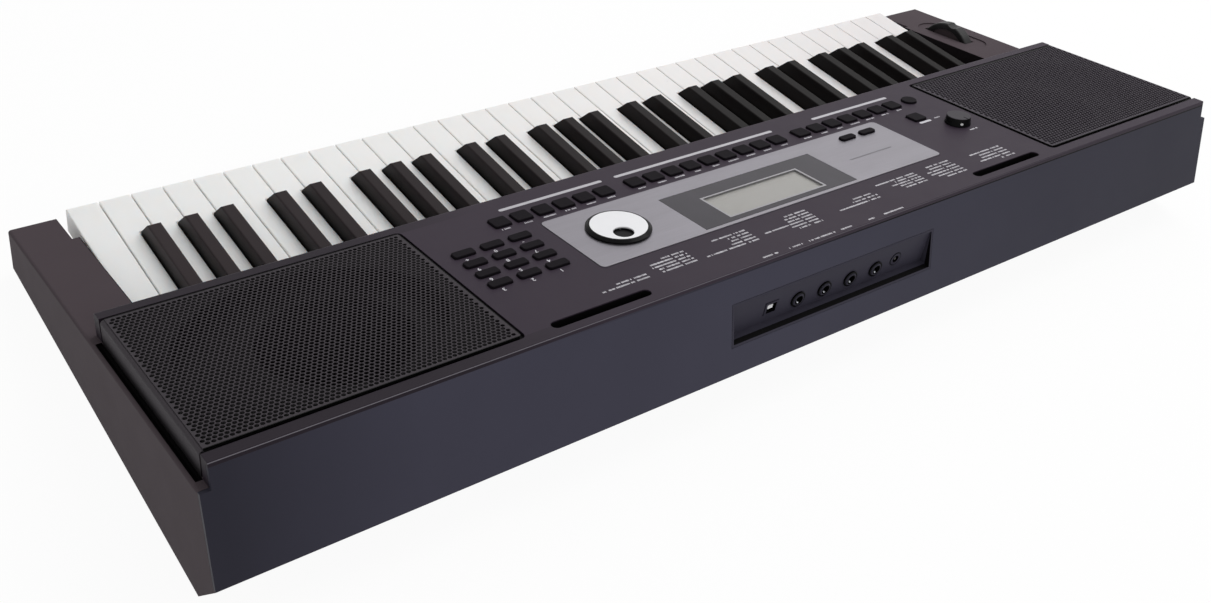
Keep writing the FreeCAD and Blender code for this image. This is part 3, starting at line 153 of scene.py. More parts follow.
def moulded(name, colour, roughness, grain, depth, edge=0.5 * MM, zones=(), **sockets):
    """Injection-moulded plastic: a fine even grain, faint flow marks and a handled, uneven gloss.

    Each zone is a function that gives its share at a place, and the colour that it turns to there.
    """
    finish, shader, place = new_finish(name, **sockets)
    flow = noise(place, flow_length, 4.0, 0.6)
    handled = noise(place, hand_patch, 5.0, 0.65)
    pores = noise(place, grain, 2.0, 0.6)
    base = mixed(flow * 0.7 + pores * 0.3, shaded(colour, 0.86), shaded(colour, 1.16))
    for share, zone_colour in zones:
        base = mixed(share(place), base, zone_colour)
    feed(shader, base_color=base, roughness=roughness - 0.06 + handled * 0.12,
         normal=relief(place, pores, depth, edge))
    return finish


def dress(finish, *names):
    for name in names:
        for slot in nodes[name].material_slots:
            slot.material = finish


base_grey = moulded("coarse grained base plastic", tone(38, 34, 38), 0.62, 0.9 * MM, 0.12 * MM,
                    specular_ior_level=0.3)
dress(base_grey, "lower_case")

# Rubber feet: six turned-looking buttons of soft black rubber, glued into the base. They carry a dusty
# matt skin, greyer where they meet the table.
dust_height = 5 * MM


def axes(place):
    """Wires for x, y and z, in metres."""
    return [place.node("ShaderNodeSeparateXYZ", {}, {"Vector": place}, i) for i in range(3)]


rubber_black, shader, place = new_finish("dusty black rubber", specular_ior_level=0.3)
dust = noise(place, 3 * MM, 6.0, 0.7)
worn = (1 - axes(place)[2] * (1 / dust_height)) * dust
feed(shader, base_color=mixed(worn, tone(26, 25, 26), tone(74, 72, 70)), roughness=0.72 + dust * 0.2,
     normal=relief(place, dust, 0.15 * MM, 0.8 * MM))
dress(rubber_black, "rubber_feet")

# Main board, control board, jack board and contact board: green glass-fibre boards with soldered
# tracks. They are held by small screws on moulded posts and stay out of sight inside the case.
board_green, shader, place = new_finish("lacquered circuit board", coat_weight=0.4, coat_roughness=0.15)
weaves_per_metre, tracks_per_metre, track_width = 260.0, 120.0, 0.03
weave = place.node("ShaderNodeTexWave", {"bands_direction": "X"},
                   {"Vector": place, "Scale": weaves_per_metre})
track = place.node("ShaderNodeTexBrick", {}, {"Vector": place, "Scale": tracks_per_metre,
                                              "Mortar Size": track_width}, 1)
feed(shader, base_color=mixed(track, tone(20, 74, 44), tone(52, 112, 66)), roughness=0.42 + weave * 0.1,
     normal=relief(place, track, 0.04 * MM, 0.2 * MM))
dress(board_green, "main_board", "control_board", "jack_board", "contact_board")

# Amplifier heat sink: an extruded aluminium block with fins, which stands on the main board. Fine lines
# from the die run along it.
drawn_aluminium, shader, place = new_finish("extruded aluminium", metallic=1.0)
lines = noise(stretched(place, 1.0, 0.03, 1.0), 0.5 * MM, 3.0)
feed(shader, base_color=mixed(lines, tone(176, 178, 181), tone(214, 216, 218)),
     roughness=0.3 + lines * 0.15, normal=relief(place, lines, 0.02 * MM, 0.2 * MM))
dress(drawn_aluminium, "amplifier_heat_sink")

# Case screws and inner screws: steel, driven into plastic posts. The case screws are zinc plated, uneven
# and a little blue, with heads scuffed by the driver, as is the spring; the inner screws are blackened.
plated_steel, shader, place = new_finish("zinc plated steel", metallic=1.0)
patches = noise(place, 2.2 * MM, 5.0, 0.7)
scuffs = noise(stretched(place, 1.0, 0.1, 1.0), 0.35 * MM, 3.0)
feed(shader, base_color=mixed(patches, tone(138, 140, 145), tone(194, 196, 202)),
     roughness=0.26 + scuffs * 0.22, normal=relief(place, scuffs, 0.02 * MM, 0.25 * MM))
dress(plated_steel, "case_screws", "wheel_spring")
black_steel = moulded("blackened steel", tone(8, 8, 9), 0.5, 0.8 * MM, 0.01 * MM, 0.25 * MM,
                      specular_ior_level=0.3)
dress(black_steel, "inner_screws")

# End cheeks: the two hollow blocks that close the case beside the keys. They are moulded in the same
# warm dark grey as the deck. The groove beside each grille and the inner walls beside the keys are
# painted near-black as shade. Places on the deck are told across it, up its slope and above its face.
deck_tilt = math.radians(9.8)
deck_front_y = -18.5495 * MM
deck_front_z = 82.5945 * MM
rise = math.sin(deck_tilt)
run = math.cos(deck_tilt)
# Near-black that stands for shade in grooves, holes, gaps and recesses.
shade_black = tone(9, 8, 9)


def deck_wires(place):
    """Wires for the place across the deck, up its slope and above its face, in metres."""
    x, y, z = axes(place)
    back = y - deck_front_y
    up = z - deck_front_z
    return x, back * run + up * rise, up * run - back * rise


def between(wire, low, high):
    return (wire > low) * (wire < high)


def ramp(wire, start, end, top=1.0):
    """0 at the start and the given top at the end, held beyond both."""
    return wire.node("ShaderNodeMapRange", {}, {0: wire, 1: start, 2: end, 3: 0.0, 4: top})


groove_across = 465.2 * MM, 469.9 * MM
groove_along = 9.4 * MM, 165.6 * MM
groove_above = -19.4 * MM, -16.83 * MM
bass_wall = -415.7 * MM, -414.9 * MM
treble_wall = 433.7 * MM, 434.5 * MM
wall_shade = 0.9


# Painted shade: the groove between the cheek's ledge and the grille's turned-down end.
def groove_shade(place):
    across, along, above = deck_wires(place)
    sides = between(abs(across), *groove_across)
    return sides * between(along, *groove_along) * between(above, *groove_above)


# Painted shade: the cheeks' inner walls that face the keys.
def key_wall_shade(place):
    across = axes(place)[0]
    return (between(across, *bass_wall) + between(across, *treble_wall)) * wall_shade


cheek_grey = moulded("warm grey cheek plastic", tone(76, 68, 72), 0.5, 0.5 * MM, 0.03 * MM, 0.5 * MM,
                     ((groove_shade, shade_black), (key_wall_shade, shade_black)), ior=1.15,
                     specular_ior_level=0.1)
dress(cheek_grey, "left_end_cheek", "right_end_cheek")

# Key frame, felts and contacts: the bed that the keys hinge on. It is black glass-filled plastic, with
# a red felt strip that the keys land on and grey silicone domes over the contact board.
frame_black = moulded("glass filled frame plastic", tone(24, 24, 26), 0.66, 0.6 * MM, 0.06 * MM)
dress(frame_black, "key_frame")
stop_felt, shader, place = new_finish("red stop felt", sheen_weight=0.6, sheen_roughness=0.5)
fibres = noise(stretched(place, 1.0, 0.35, 1.0), 0.4 * MM, 5.0, 0.75)
feed(shader, base_color=mixed(fibres, tone(92, 20, 24), tone(148, 44, 46)), roughness=0.9 + fibres * 0.08,
     normal=relief(place, fibres, 0.3 * MM, 0.5 * MM))
dress(stop_felt, "key_felts")
contact_silicone = moulded("grey contact silicone", tone(118, 118, 120), 0.55, 0.4 * MM, 0.02 * MM,
                           subsurface_weight=0.1, subsurface_radius=(MM, MM, MM))
dress(contact_silicone, "contact_rubbers")

# White keys: hollow white ABS, moulded as two combs to the octave, with every other key on each. The tops
# are polished, with faint finger marks in the gloss, and painted shade makes them greyer towards the
# bass end.
key_white, shader, place = new_finish("polished white key plastic", coat_weight=0.08, coat_roughness=0.12,
                                      specular_ior_level=0.3, subsurface_weight=0.9, subsurface_scale=1.0,
                                      subsurface_radius=(4.0 * MM, 3.5 * MM, 3.2 * MM))
# Painted shade: the ramp that greys the tops towards the bass end.
key_shade_start, key_shade_end = 300 * MM, -400 * MM
bass_key_shade = ramp(axes(place)[0], key_shade_start, key_shade_end)
cream = noise(place, 70 * MM, 3.0)
fingers = noise(stretched(place, 1.0, 0.5, 1.0), 14 * MM, 5.0, 0.6)
skin = noise(place, 1.6 * MM, 2.0)
key_cream = mixed(cream, tone(247, 245, 243), tone(240, 238, 235))
feed(shader, base_color=mixed(bass_key_shade, key_cream, tone(221, 217, 217)), roughness=0.24 + fingers * 0.14,
     normal=relief(place, skin, 0.008 * MM, 0.5 * MM))
octaves = ["octave_%d" % (i + 1) for i in range(5)]
dress(key_white, "top_white_key", *[octave + part for octave in octaves
                                    for part in ("_white_keys_ceg_b", "_white_keys_dfa")])

# Black keys: tapered hollow keys on their own comb. They are matt black with a fine grain on the top
# face, so that fingers don't slip. A painted sheen turns their tops lighter and browner towards the
# treble end, and leaves their lower sides dark.
black_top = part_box("octave_1_black_keys")[1][2]
sheen_across = -100 * MM, 420 * MM
sheen_height = black_top - 9 * MM, black_top - 4 * MM


# Painted sheen: grows towards the treble end and towards the tops of the keys.
def treble_sheen(place):
    x, z = axes(place)[::2]
    return ramp(x, *sheen_across) * ramp(z, *sheen_height)


key_black = moulded("grained black key plastic", tone(16, 13, 13), 0.42, 0.45 * MM, 0.02 * MM, 0.8 * MM,
                    ((treble_sheen, tone(50, 43, 45)),), ior=1.2, specular_ior_level=0.35)
dress(key_black, *[octave + "_black_keys" for octave in octaves])

# Pitch wheel: a black wheel in the bass cheek, sprung to its middle, with a finger dip in its rim and
# grey dished sides. Its pins turn in a bracket that stands on the case floor.
wheel_y, wheel_z, dish_radius = -102.0 * MM, 31.48 * MM, 25.2 * MM


def distance(first, second):
    """Wire for the distance from a middle, from the offsets along two axes."""
    offsets = first.node("ShaderNodeCombineXYZ", {}, {"X": first, "Y": second})
    return first.node("ShaderNodeVectorMath", {"operation": "LENGTH"}, {0: offsets}, 1)


wheel_black, shader, place = new_finish("satin wheel plastic", ior=1.3)
y, z = axes(place)[1:]
grain = noise(place, 0.5 * MM, 2.0)
dished = (distance(y - wheel_y, z - wheel_z) < dish_radius) * (0.8 + grain * 0.2)
feed(shader, base_color=mixed(dished, tone(20, 19, 20), tone(66, 57, 60)), roughness=0.34 + grain * 0.14,
     normal=relief(place, grain, 0.02 * MM, 0.5 * MM))
dress(wheel_black, "pitch_wheel")
dress(frame_black, "wheel_bracket")

# Speakers: two paper-cone drivers under the baffles, on pressed steel baskets with ferrite magnets.
# They show only as black depth behind the grilles.
cone_paper, shader, place = new_finish("black pulp paper", ior=1.1, specular_ior_level=0.1)
pulp = noise(place, 0.9 * MM, 6.0, 0.75)
feed(shader, base_color=mixed(pulp, tone(2, 2, 2), tone(9, 8, 8)), roughness=0.85 + pulp * 0.1,
     normal=relief(place, pulp, 0.15 * MM, 0.3 * MM))
dress(cone_paper, "speaker_cones")
basket_steel = moulded("black dipped basket steel", tone(7, 7, 8), 0.6, 1.2 * MM, 0.03 * MM,
                       ior=1.15, specular_ior_level=0.1)
dress(basket_steel, "speaker_baskets")
ferrite = moulded("sintered ferrite", tone(52, 50, 50), 0.7, 0.35 * MM, 0.05 * MM)
dress(ferrite, "speaker_magnets")

# Deck: the upper case, a sloping panel with a fall behind the keys, seats for the grilles and sockets
# for the music stand. It is dark grey ABS with a fine satin grain and carries all the controls. Faces
# sunk below its top are painted near-black as shade, its front and rear strips beside the treble grille
# are painted darker as shade, and a painted highlight lightens its rear edge, more towards the treble end.
hole_along, hole_across, hole_lip = (3 * MM, 171 * MM), 464 * MM, -0.9 * MM
rim_across, seat_along, rim_shade = (190 * MM, 300 * MM), (11.5 * MM, 163.5 * MM), 0.5
edge_along, edge_above = 174.4 * MM, -0.8 * MM
edge_across, edge_highlight_share = (-350 * MM, 300 * MM), 0.75


# Painted shade: faces more than the lip's depth below the deck's top, in holes and seats.
def deck_hole_shade(place):
    across, along, above = deck_wires(place)
    return (above < hole_lip) * between(along, *hole_along) * (abs(across) < hole_across)


# Painted shade: the deck's strips in front of and behind the treble grille.
def treble_rim_shade(place):
    across, along = deck_wires(place)[:2]
    return ramp(across, *rim_across, rim_shade) * (1 - between(along, *seat_along))


# Painted highlight: a light line along the deck's rear edge, stronger towards the treble end.
def edge_highlight(place):
    across, along, above = deck_wires(place)
    return (along > edge_along) * (above > edge_above) * ramp(across, *edge_across, edge_highlight_share)


case_grey = moulded("satin deck plastic", tone(50, 42, 52), 0.48, 0.45 * MM, 0.025 * MM, 0.4 * MM,
                    ((deck_hole_shade, shade_black), (treble_rim_shade, shade_black), (edge_highlight, tone(122, 119, 126))),
                    ior=1.22, specular_ior_level=0.35)
dress(case_grey, "upper_case")

# Speaker grilles: shallow pans of the deck's plastic, pierced with staggered holes of nearly 3 mm over
# the speakers. Behind the thin front sheet a web with an oval window stiffens the pan, and the outer end
# turns down to the cheek. Every face but the pierced top is painted near-black as shade, the web's face
# nearly so, the turned-down end darkens to near-black as shade, and the treble pan is painted darker as
# shade.
on_deck = Matrix(((1, 0, 0, 0), (0, run, -rise, deck_front_y), (0, rise, run, deck_front_z), (0, 0, 0, 1)))
grille_inner, grille_outer = 261.2 * MM, 465.5 * MM
grille_front, grille_rear = 11.8 * MM, 163.2 * MM
grille_corner, grille_turn, grille_drop = 3.0 * MM, 2.5 * MM, 16.75 * MM
front_sheet, pan_wall, sheet_gap = 0.6 * MM, 2.0 * MM, 0.02 * MM
hole_spacing, hole_radius, hole_columns, hole_rows = 3.46 * MM, 1.48 * MM, 57, 49
holes_middle = 362.9 * MM, 87.5 * MM
oval_middle, oval_reach, oval_sides = (361.7 * MM, 87.5 * MM), (86 * MM, 68 * MM), 72
flat_inner, flat_outer, flat_front, flat_rear = 261.9 * MM, 462.9 * MM, 12.8 * MM, 162.5 * MM
bass_rim_step, flat_skin = 1.3 * MM, -0.05 * MM
web_above = -0.75 * MM, -0.61 * MM
end_above, end_shade = (-7 * MM, -15 * MM), 0.9
bend_step, bend_points = 15, 7
weld_gap, seam_gap = 0.001 * MM, 0.002 * MM


# Painted shade: the turned-down end darkens towards its foot.
def end_wall_shade(place):
    return ramp(deck_wires(place)[2], *end_above, end_shade)


# Painted shade: hole walls, rims and the back of the sheet, all but the flat top face.
def grille_hole_shade(place):
    across, along, above = deck_wires(place)
    front_rim = flat_front + (across < 0.0) * bass_rim_step
    flat = (abs(across) > flat_inner) * (along > front_rim) * (along < flat_rear) * (above > flat_skin)
    return (1 - flat) * (abs(across) < flat_outer)


# Painted shade: the web's face, seen through the holes beside the oval window.
def web_shade(place):
    across, above = deck_wires(place)[::2]
    return between(above, *web_above) * (abs(across) < flat_outer)


# Painted shade: the treble pan is a little darker.
def treble_pan_shade(place):
    return axes(place)[0] > 0.0


grille_grey = moulded("pierced grille plastic", tone(65, 60, 67), 0.5, 0.45 * MM, 0.025 * MM, 0.2 * MM,
                      ((treble_pan_shade, tone(61, 57, 61)), (end_wall_shade, shade_black),
                       (grille_hole_shade, tone(2, 2, 2)), (web_shade, tone(12, 11, 12))),
                      ior=1.2, specular_ior_level=0.3)


def placed(name, mesh, matrix, finish, body):
    """A piece from a mesh in the given frame, riding on a body."""
    mesh.transform(matrix)
    mesh.materials.clear()
    mesh.materials.append(finish)
    piece = bpy.data.objects.new(name, mesh)
    bpy.context.scene.collection.objects.link(piece)
    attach(piece, body)
    return piece


def new_tree(name, **inputs):
    """An empty geometry tree; the wires of its inputs come back by name, the mesh first."""
    tree = bpy.data.node_groups.new(name, "GeometryNodeTree")
    tree.interface.new_socket("Mesh", in_out="OUTPUT", socket_type="NodeSocketGeometry")
    tree.interface.new_socket("Mesh", in_out="INPUT", socket_type="NodeSocketGeometry")
    for label, kind in inputs.items():
        tree.interface.new_socket(label, in_out="INPUT", socket_type="NodeSocket" + kind)
    start = tree.nodes.new("NodeGroupInput")
    return tree, {socket.name: Wire(socket) for socket in start.outputs if socket.name}


def close_tree(tree, mesh, finish):
    """Ends a tree in Realize Instances and Set Material."""
    real = mesh.node("GeometryNodeRealizeInstances", {}, {"Geometry": mesh})
    made = real.node("GeometryNodeSetMaterial", {}, {"Geometry": real, "Material": finish})
    end = tree.nodes.new("NodeGroupOutput")
    tree.links.new(made.socket, end.inputs["Mesh"])


def grown(tree, points, edges, **sizes):
    """The plain mesh that a tree makes from these points and edges with these sizes."""
    seed_mesh = bpy.data.meshes.new("seed")
    seed_mesh.from_pydata(points, edges, [])
    carrier = bpy.data.objects.new("seed", seed_mesh)
    bpy.context.scene.collection.objects.link(carrier)
    modifier = carrier.modifiers.new("tree", "NODES")
    modifier.node_group = tree
    for item in tree.interface.items_tree:
        if item.in_out == "INPUT" and item.name in sizes:
            modifier[item.identifier] = sizes[item.name]
    graph = bpy.context.evaluated_depsgraph_get()
    mesh = bpy.data.meshes.new_from_object(carrier.evaluated_get(graph))
    carrier.modifiers.clear()
    bpy.data.objects.remove(carrier)
    bpy.data.meshes.remove(seed_mesh)
    return mesh


sheet_tree, size = new_tree("pierced_sheet", Spacing="Float", Radius="Float", Thickness="Float",
                            Columns="Int", Rows="Int", Centre="Vector")
row_spacing = size["Spacing"] * (math.sqrt(3) / 2)
grid = size["Mesh"].node("GeometryNodeMeshGrid", {}, {
    "Size X": size["Spacing"] * (size["Columns"] - 1), "Size Y": row_spacing * (size["Rows"] - 1),
    "Vertices X": size["Columns"], "Vertices Y": size["Rows"]})
odd_row = (grid.node("GeometryNodeInputIndex", {}, {}) % size["Rows"]) % 2
stagger = grid.node("ShaderNodeCombineXYZ", {}, {"X": (odd_row - 0.5) * size["Spacing"] * 0.5})
shift = grid.node("ShaderNodeVectorMath", {"operation": "ADD"}, {0: stagger, 1: size["Centre"]})
spots = grid.node("GeometryNodeSetPosition", {}, {"Geometry": grid, "Offset": shift})
ring = grid.node("GeometryNodeCurvePrimitiveCircle", {}, {"Resolution": 10, "Radius": size["Radius"]})
holes = grid.node("GeometryNodeInstanceOnPoints", {}, {"Points": spots, "Instance": ring})
holes = grid.node("GeometryNodeRealizeInstances", {}, {"Geometry": holes})
rim = grid.node("GeometryNodeMeshToCurve", {}, {"Mesh": size["Mesh"]})
loops = grid.node("GeometryNodeJoinGeometry", {}, {"Geometry": [rim, holes]})
flat = grid.node("GeometryNodeFillCurve", {"mode": "TRIANGLES"}, {"Curve": loops})
top = grid.node("GeometryNodeExtrudeMesh", {}, {"Mesh": flat, "Offset": (0.0, 0.0, 1.0),
                                                "Offset Scale": size["Thickness"], "Individual": False})
back = grid.node("GeometryNodeFlipFaces", {}, {"Mesh": flat})
sheet = grid.node("GeometryNodeJoinGeometry", {}, {"Geometry": [top, back]})
sheet = grid.node("GeometryNodeMergeByDistance", {}, {"Geometry": sheet, "Distance": weld_gap})
close_tree(sheet_tree, sheet, grille_grey)


def loop_edges(count):
    return [(i, (i + 1) % count) for i in range(count)]


def pan_outline(w):
    """Flat part of the pan, with its two rounded inner corners."""
    bend = grille_outer - grille_turn
    points = [(bend, grille_rear, w), (bend, grille_front, w)]
    for middle_v, start in ((grille_front + grille_corner, 270), (grille_rear - grille_corner, 180)):
        for step in range(bend_points):
            angle = math.radians(start - bend_step * step)
            points.append((grille_inner + grille_corner + grille_corner * math.cos(angle),
                           middle_v + grille_corner * math.sin(angle), w))
    return points


def web_mesh():
    """Stiffening frame behind the front sheet, with its oval window."""
    turns = [math.radians(360 / oval_sides * i) for i in range(oval_sides)]
    window = [(oval_middle[0] + oval_reach[0] * math.cos(turn),
               oval_middle[1] + oval_reach[1] * math.sin(turn)) for turn in turns]
    web = bpy.data.curves.new("web", "CURVE")
    web.dimensions = "2D"
    web.fill_mode = "BOTH"
    web.extrude = (pan_wall - front_sheet) / 2 - sheet_gap
    for loop in (pan_outline(0.0), window):
        spline = web.splines.new("POLY")
        spline.points.add(len(loop) - 1)
        for point, spot in zip(spline.points, loop):
            point.co = (spot[0], spot[1], 0.0, 1.0)
        spline.use_cyclic_u = True
    carrier = bpy.data.objects.new("web", web)
    mesh = bpy.data.meshes.new_from_object(carrier)
    mesh.transform(Matrix.Translation((0, 0, -(front_sheet + pan_wall) / 2)))
    bpy.data.objects.remove(carrier)
    return mesh


def grille_mesh():
    """The right-hand pan, in the deck's frame: pierced sheet, turned-down end and web."""
    outline = pan_outline(-front_sheet)
    mesh = grown(sheet_tree, outline, loop_edges(len(outline)), Spacing=hole_spacing, Radius=hole_radius,
                 Thickness=front_sheet, Columns=hole_columns, Rows=hole_rows,
                 Centre=(*holes_middle, -front_sheet))
    pan = bmesh.new()
    pan.from_mesh(mesh)
    bend = grille_outer - grille_turn
    section = []
    for radius in (grille_turn, grille_turn - front_sheet):
        arc = [(bend + radius * math.sin(a), -grille_turn + radius * math.cos(a))
               for a in [math.radians(bend_step * i) for i in range(bend_points)]]
        arc.append((arc[-1][0], -grille_drop))
        section += arc if radius == grille_turn else arc[::-1]
    ends = [[pan.verts.new((x, v, w)) for x, w in section] for v in (grille_front, grille_rear)]
    count = len(section)
    for i in range(count - 1):
        pan.faces.new((ends[0][i], ends[0][i + 1], ends[1][i + 1], ends[1][i]))
    for i in range(count // 2 - 1):
        for row in ends:
            pan.faces.new((row[i], row[i + 1], row[count - 2 - i], row[count - 1 - i]))
    bmesh.ops.remove_doubles(pan, verts=pan.verts, dist=seam_gap)
    inner_faces = [face for face in pan.faces if all(abs(v.co.x - bend) < sheet_gap for v in face.verts)]
    bmesh.ops.delete(pan, geom=inner_faces, context="FACES_ONLY")
    pan.from_mesh(web_mesh())
    bmesh.ops.recalc_face_normals(pan, faces=pan.faces)
    pan.to_mesh(mesh)
    pan.free()
    return mesh


def mirrored(mesh):
    copy = mesh.copy()
    copy.transform(Matrix.Scale(-1, 4, Vector((1, 0, 0))))
    copy.flip_normals()
    return copy


right_mesh = grille_mesh()
for name, mesh in (("left_grille", mirrored(right_mesh)), ("right_grille", right_mesh)):
    pan = placed(name + "_pierced", mesh, on_deck, grille_grey, "case")
    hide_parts(name)

# Button rows, number pad, pill buttons, power and start buttons: soft-touch black caps moulded on
# flexible strips, which come up through the deck and press switches on the control board.
button_black = moulded("soft touch button plastic", tone(22, 19, 23), 0.6, 0.4 * MM, 0.02 * MM, 0.4 * MM,
                       ior=1.15, specular_ior_level=0.25)
dress(button_black, "button_row_left", "button_row_middle", "button_row_right", "number_pad",
      "display_buttons", "power_button", "start_button")

# Display panel: a thin aluminium-look overlay sunk flush into the deck, brushed along the keyboard and
# clear lacquered. It frames the window, two pill buttons and the dial.
brushed_silver, shader, place = new_finish("brushed silver overlay", metallic=0.85, coat_weight=0.2,
                                           coat_roughness=0.25)
strokes = noise(stretched(place, 0.012, 1.0, 1.0), 0.35 * MM, 4.0, 0.65)
bands = noise(stretched(place, 0.15, 1.0, 1.0), 12 * MM, 3.0)
feed(shader, base_color=mixed(strokes * 0.7 + bands * 0.3, tone(109, 106, 112), tone(141, 138, 145)),
     roughness=0.3 + strokes * 0.16, normal=relief(place, strokes, 0.012 * MM, 0.3 * MM))
dress(brushed_silver, "display_panel")

# Display window: smoked acrylic, glued into the overlay. Its face is sprayed dark all round, with a fine
# pale line that borders the clear part over the liquid crystal.
window_along, window_back = 98.25 * MM, 0.2 * MM
border_half = 48.8 * MM, 17.1 * MM
clear_half = 47.0 * MM, 15.5 * MM
window_acrylic, shader, place = new_finish("smoked window acrylic", specular_ior_level=0.3)
across, along, above = deck_wires(place)
off_middle = abs(across)
off_centre = abs(along - window_along)
opening = (off_middle < border_half[0]) * (off_centre < border_half[1])
inner = (off_middle < clear_half[0]) * (off_centre < clear_half[1])
front_face = above > window_back
dusty = noise(stretched(place, 1.0, 0.4, 1.0), 26 * MM, 5.0, 0.7)
smoke = mixed(dusty, tone(28, 24, 31), tone(52, 47, 57))
feed(shader, base_color=mixed(opening, smoke, tone(158, 156, 160)), roughness=0.08 + dusty * 0.14,
     alpha=0.1 + (1 - inner) * front_face * 0.9)
dress(window_acrylic, "display_window")

# Liquid crystal module: a glass cell in a frame on the control board, under the window. The cell is a
# grey-green reflective twist, with a fine dot pitch.
lcd_glass, shader, place = new_finish("reflective liquid crystal", coat_weight=0.3, coat_roughness=0.05)
across, along = deck_wires(place)[:2]
dot_pitch, dot_gap = 0.55 * MM, 0.07 * MM
dots = (abs(across) % dot_pitch > dot_gap) * (along % dot_pitch > dot_gap)
cell = mixed(dots, tone(164, 162, 157), tone(154, 152, 144))
glow = noise(stretched(place, 1.0, 0.5, 1.0), 30 * MM, 3.0)
feed(shader, base_color=mixed(glow * 0.6, cell, tone(180, 178, 175)), roughness=0.3 + glow * 0.2)
dress(lcd_glass, "lcd_module")

# Volume knob: a low glossy black knob on a potentiometer, with a flared skirt and a satin top that is
# painted paler as a painted sheen. The white dot on the skirt is a pointer and also a painted highlight,
# shaped and placed as the glint on the skirt. The potentiometer and the dial's encoder are metal-cased
# parts on their board.
knob_black, shader, place = new_finish("gloss knob plastic", ior=1.25, specular_ior_level=0.3)
crown_height = 6.85 * MM
# Painted sheen: the paler tone on the top.
crown_sheen = deck_wires(place)[2] > crown_height
turning = noise(place, 0.6 * MM, 2.0)
feed(shader, base_color=mixed(crown_sheen * (0.85 + turning * 0.15), tone(6, 6, 7), tone(58, 55, 60)),
     roughness=0.2 + crown_sheen * 0.2 + turning * 0.06, normal=relief(place, turning, 0.008 * MM, 0.4 * MM))
dress(knob_black, "volume_knob")
dress(plated_steel, "volume_pot", "dial_encoder")
# White dot: a pointer that is also a painted highlight standing for the glint on the skirt.
pointer_glint_white = moulded("pointer paint", tone(226, 226, 226), 0.5, 0.4 * MM, 0.01 * MM)
knob_axis = Matrix.Translation((-232 * MM, 89 * MM, 0))
skirt_radius, skirt_foot = 11.0 * MM, 0.5 * MM
skirt_taper, skirt_height = 1.2 * MM, 6.6 * MM
dot_turn, dot_spread = math.radians(57), 0.13
dot_height, dot_half, dot_sides = 2.9 * MM, 0.9 * MM, 16
dot_layers = (1.0, -0.3 * MM), (1.0, 0.06 * MM), (0.75, 0.14 * MM)
pointer_glint = bmesh.new()
rings = []
for share, lift in dot_layers:
    ring = []
    for step in range(dot_sides):
        angle = 2 * math.pi * step / dot_sides
        around = dot_turn + share * dot_spread * math.cos(angle)
        w = dot_height + share * dot_half * math.sin(angle)
        reach = skirt_radius - (w - skirt_foot) * skirt_taper / skirt_height + lift
        ring.append(pointer_glint.verts.new((reach * math.cos(around), reach * math.sin(around), w)))
    rings.append(ring)
for low, high in zip(rings, rings[1:]):
    for i, j in loop_edges(dot_sides):
        pointer_glint.faces.new((low[i], low[j], high[j], high[i]))
pointer_glint.faces.new(rings[0])
pointer_glint.faces.new(rings[-1])
bmesh.ops.recalc_face_normals(pointer_glint, faces=pointer_glint.faces)
pointer_glint_mesh = bpy.data.meshes.new("knob_pointer_glint")
pointer_glint.to_mesh(pointer_glint_mesh)
pointer_glint.free()
placed("knob_pointer_glint", pointer_glint_mesh, on_deck @ knob_axis, pointer_glint_white, "volume_knob")

# Jog dial: a flat black rim with a bevel, on the encoder's shaft. A fingertip turns it in the dimple of
# the white disc that is let into it.
dial_black, shader, place = new_finish("gloss dial rim", ior=1.15)
smear = noise(place, 5 * MM, 5.0, 0.7)
feed(shader, base_color=mixed(smear, tone(8, 8, 9), tone(15, 14, 16)), roughness=0.16 + smear * 0.16,
     normal=relief(place, smear, 0.01 * MM, 0.4 * MM))
dress(dial_black, "jog_dial")
dial_white, shader, place = new_finish("white dial plastic", coat_weight=0.2, coat_roughness=0.2)
satin = noise(place, 0.5 * MM, 2.0)
clouds = noise(place, 22 * MM, 4.0)
feed(shader, base_color=mixed(clouds, tone(236, 236, 238), tone(226, 226, 229)),
     roughness=0.32 + satin * 0.14, normal=relief(place, satin, 0.01 * MM, 0.3 * MM))
dress(dial_white, "dial_face")

# Rear panel: the leaning back wall, which covers the ends of the cheeks and stands under the deck's edge.
# It is the same dark grey with a cooler tint and a smooth satin skin. Painted shade darkens it towards
# both ends and along its top edge, more towards the bass.
treble_end, treble_shade = (340 * MM, 460 * MM), 0.5
bass_end, bass_shade = (50 * MM, -400 * MM), 0.4
seam_across, seam_above, seam_shade = (250 * MM, -50 * MM), -4.1 * MM, 0.95


# Painted shade: darker towards both ends.
def rear_end_shade(place):
    across = axes(place)[0]
    return ramp(across, *treble_end, treble_shade) + ramp(across, *bass_end, bass_shade)


# Painted shade: a dark line along the top edge, more towards the bass.
def top_seam_shade(place):
    across, above = deck_wires(place)[::2]
    return (above > seam_above) * ramp(across, *seam_across, seam_shade)


rear_grey = moulded("cool grey rear plastic", tone(64, 63, 76), 0.45, 0.5 * MM, 0.02 * MM, 0.4 * MM,
                    ((rear_end_shade, shade_black), (top_seam_shade, shade_black)), ior=1.2, specular_ior_level=0.3)
dress(rear_grey, "rear_panel")

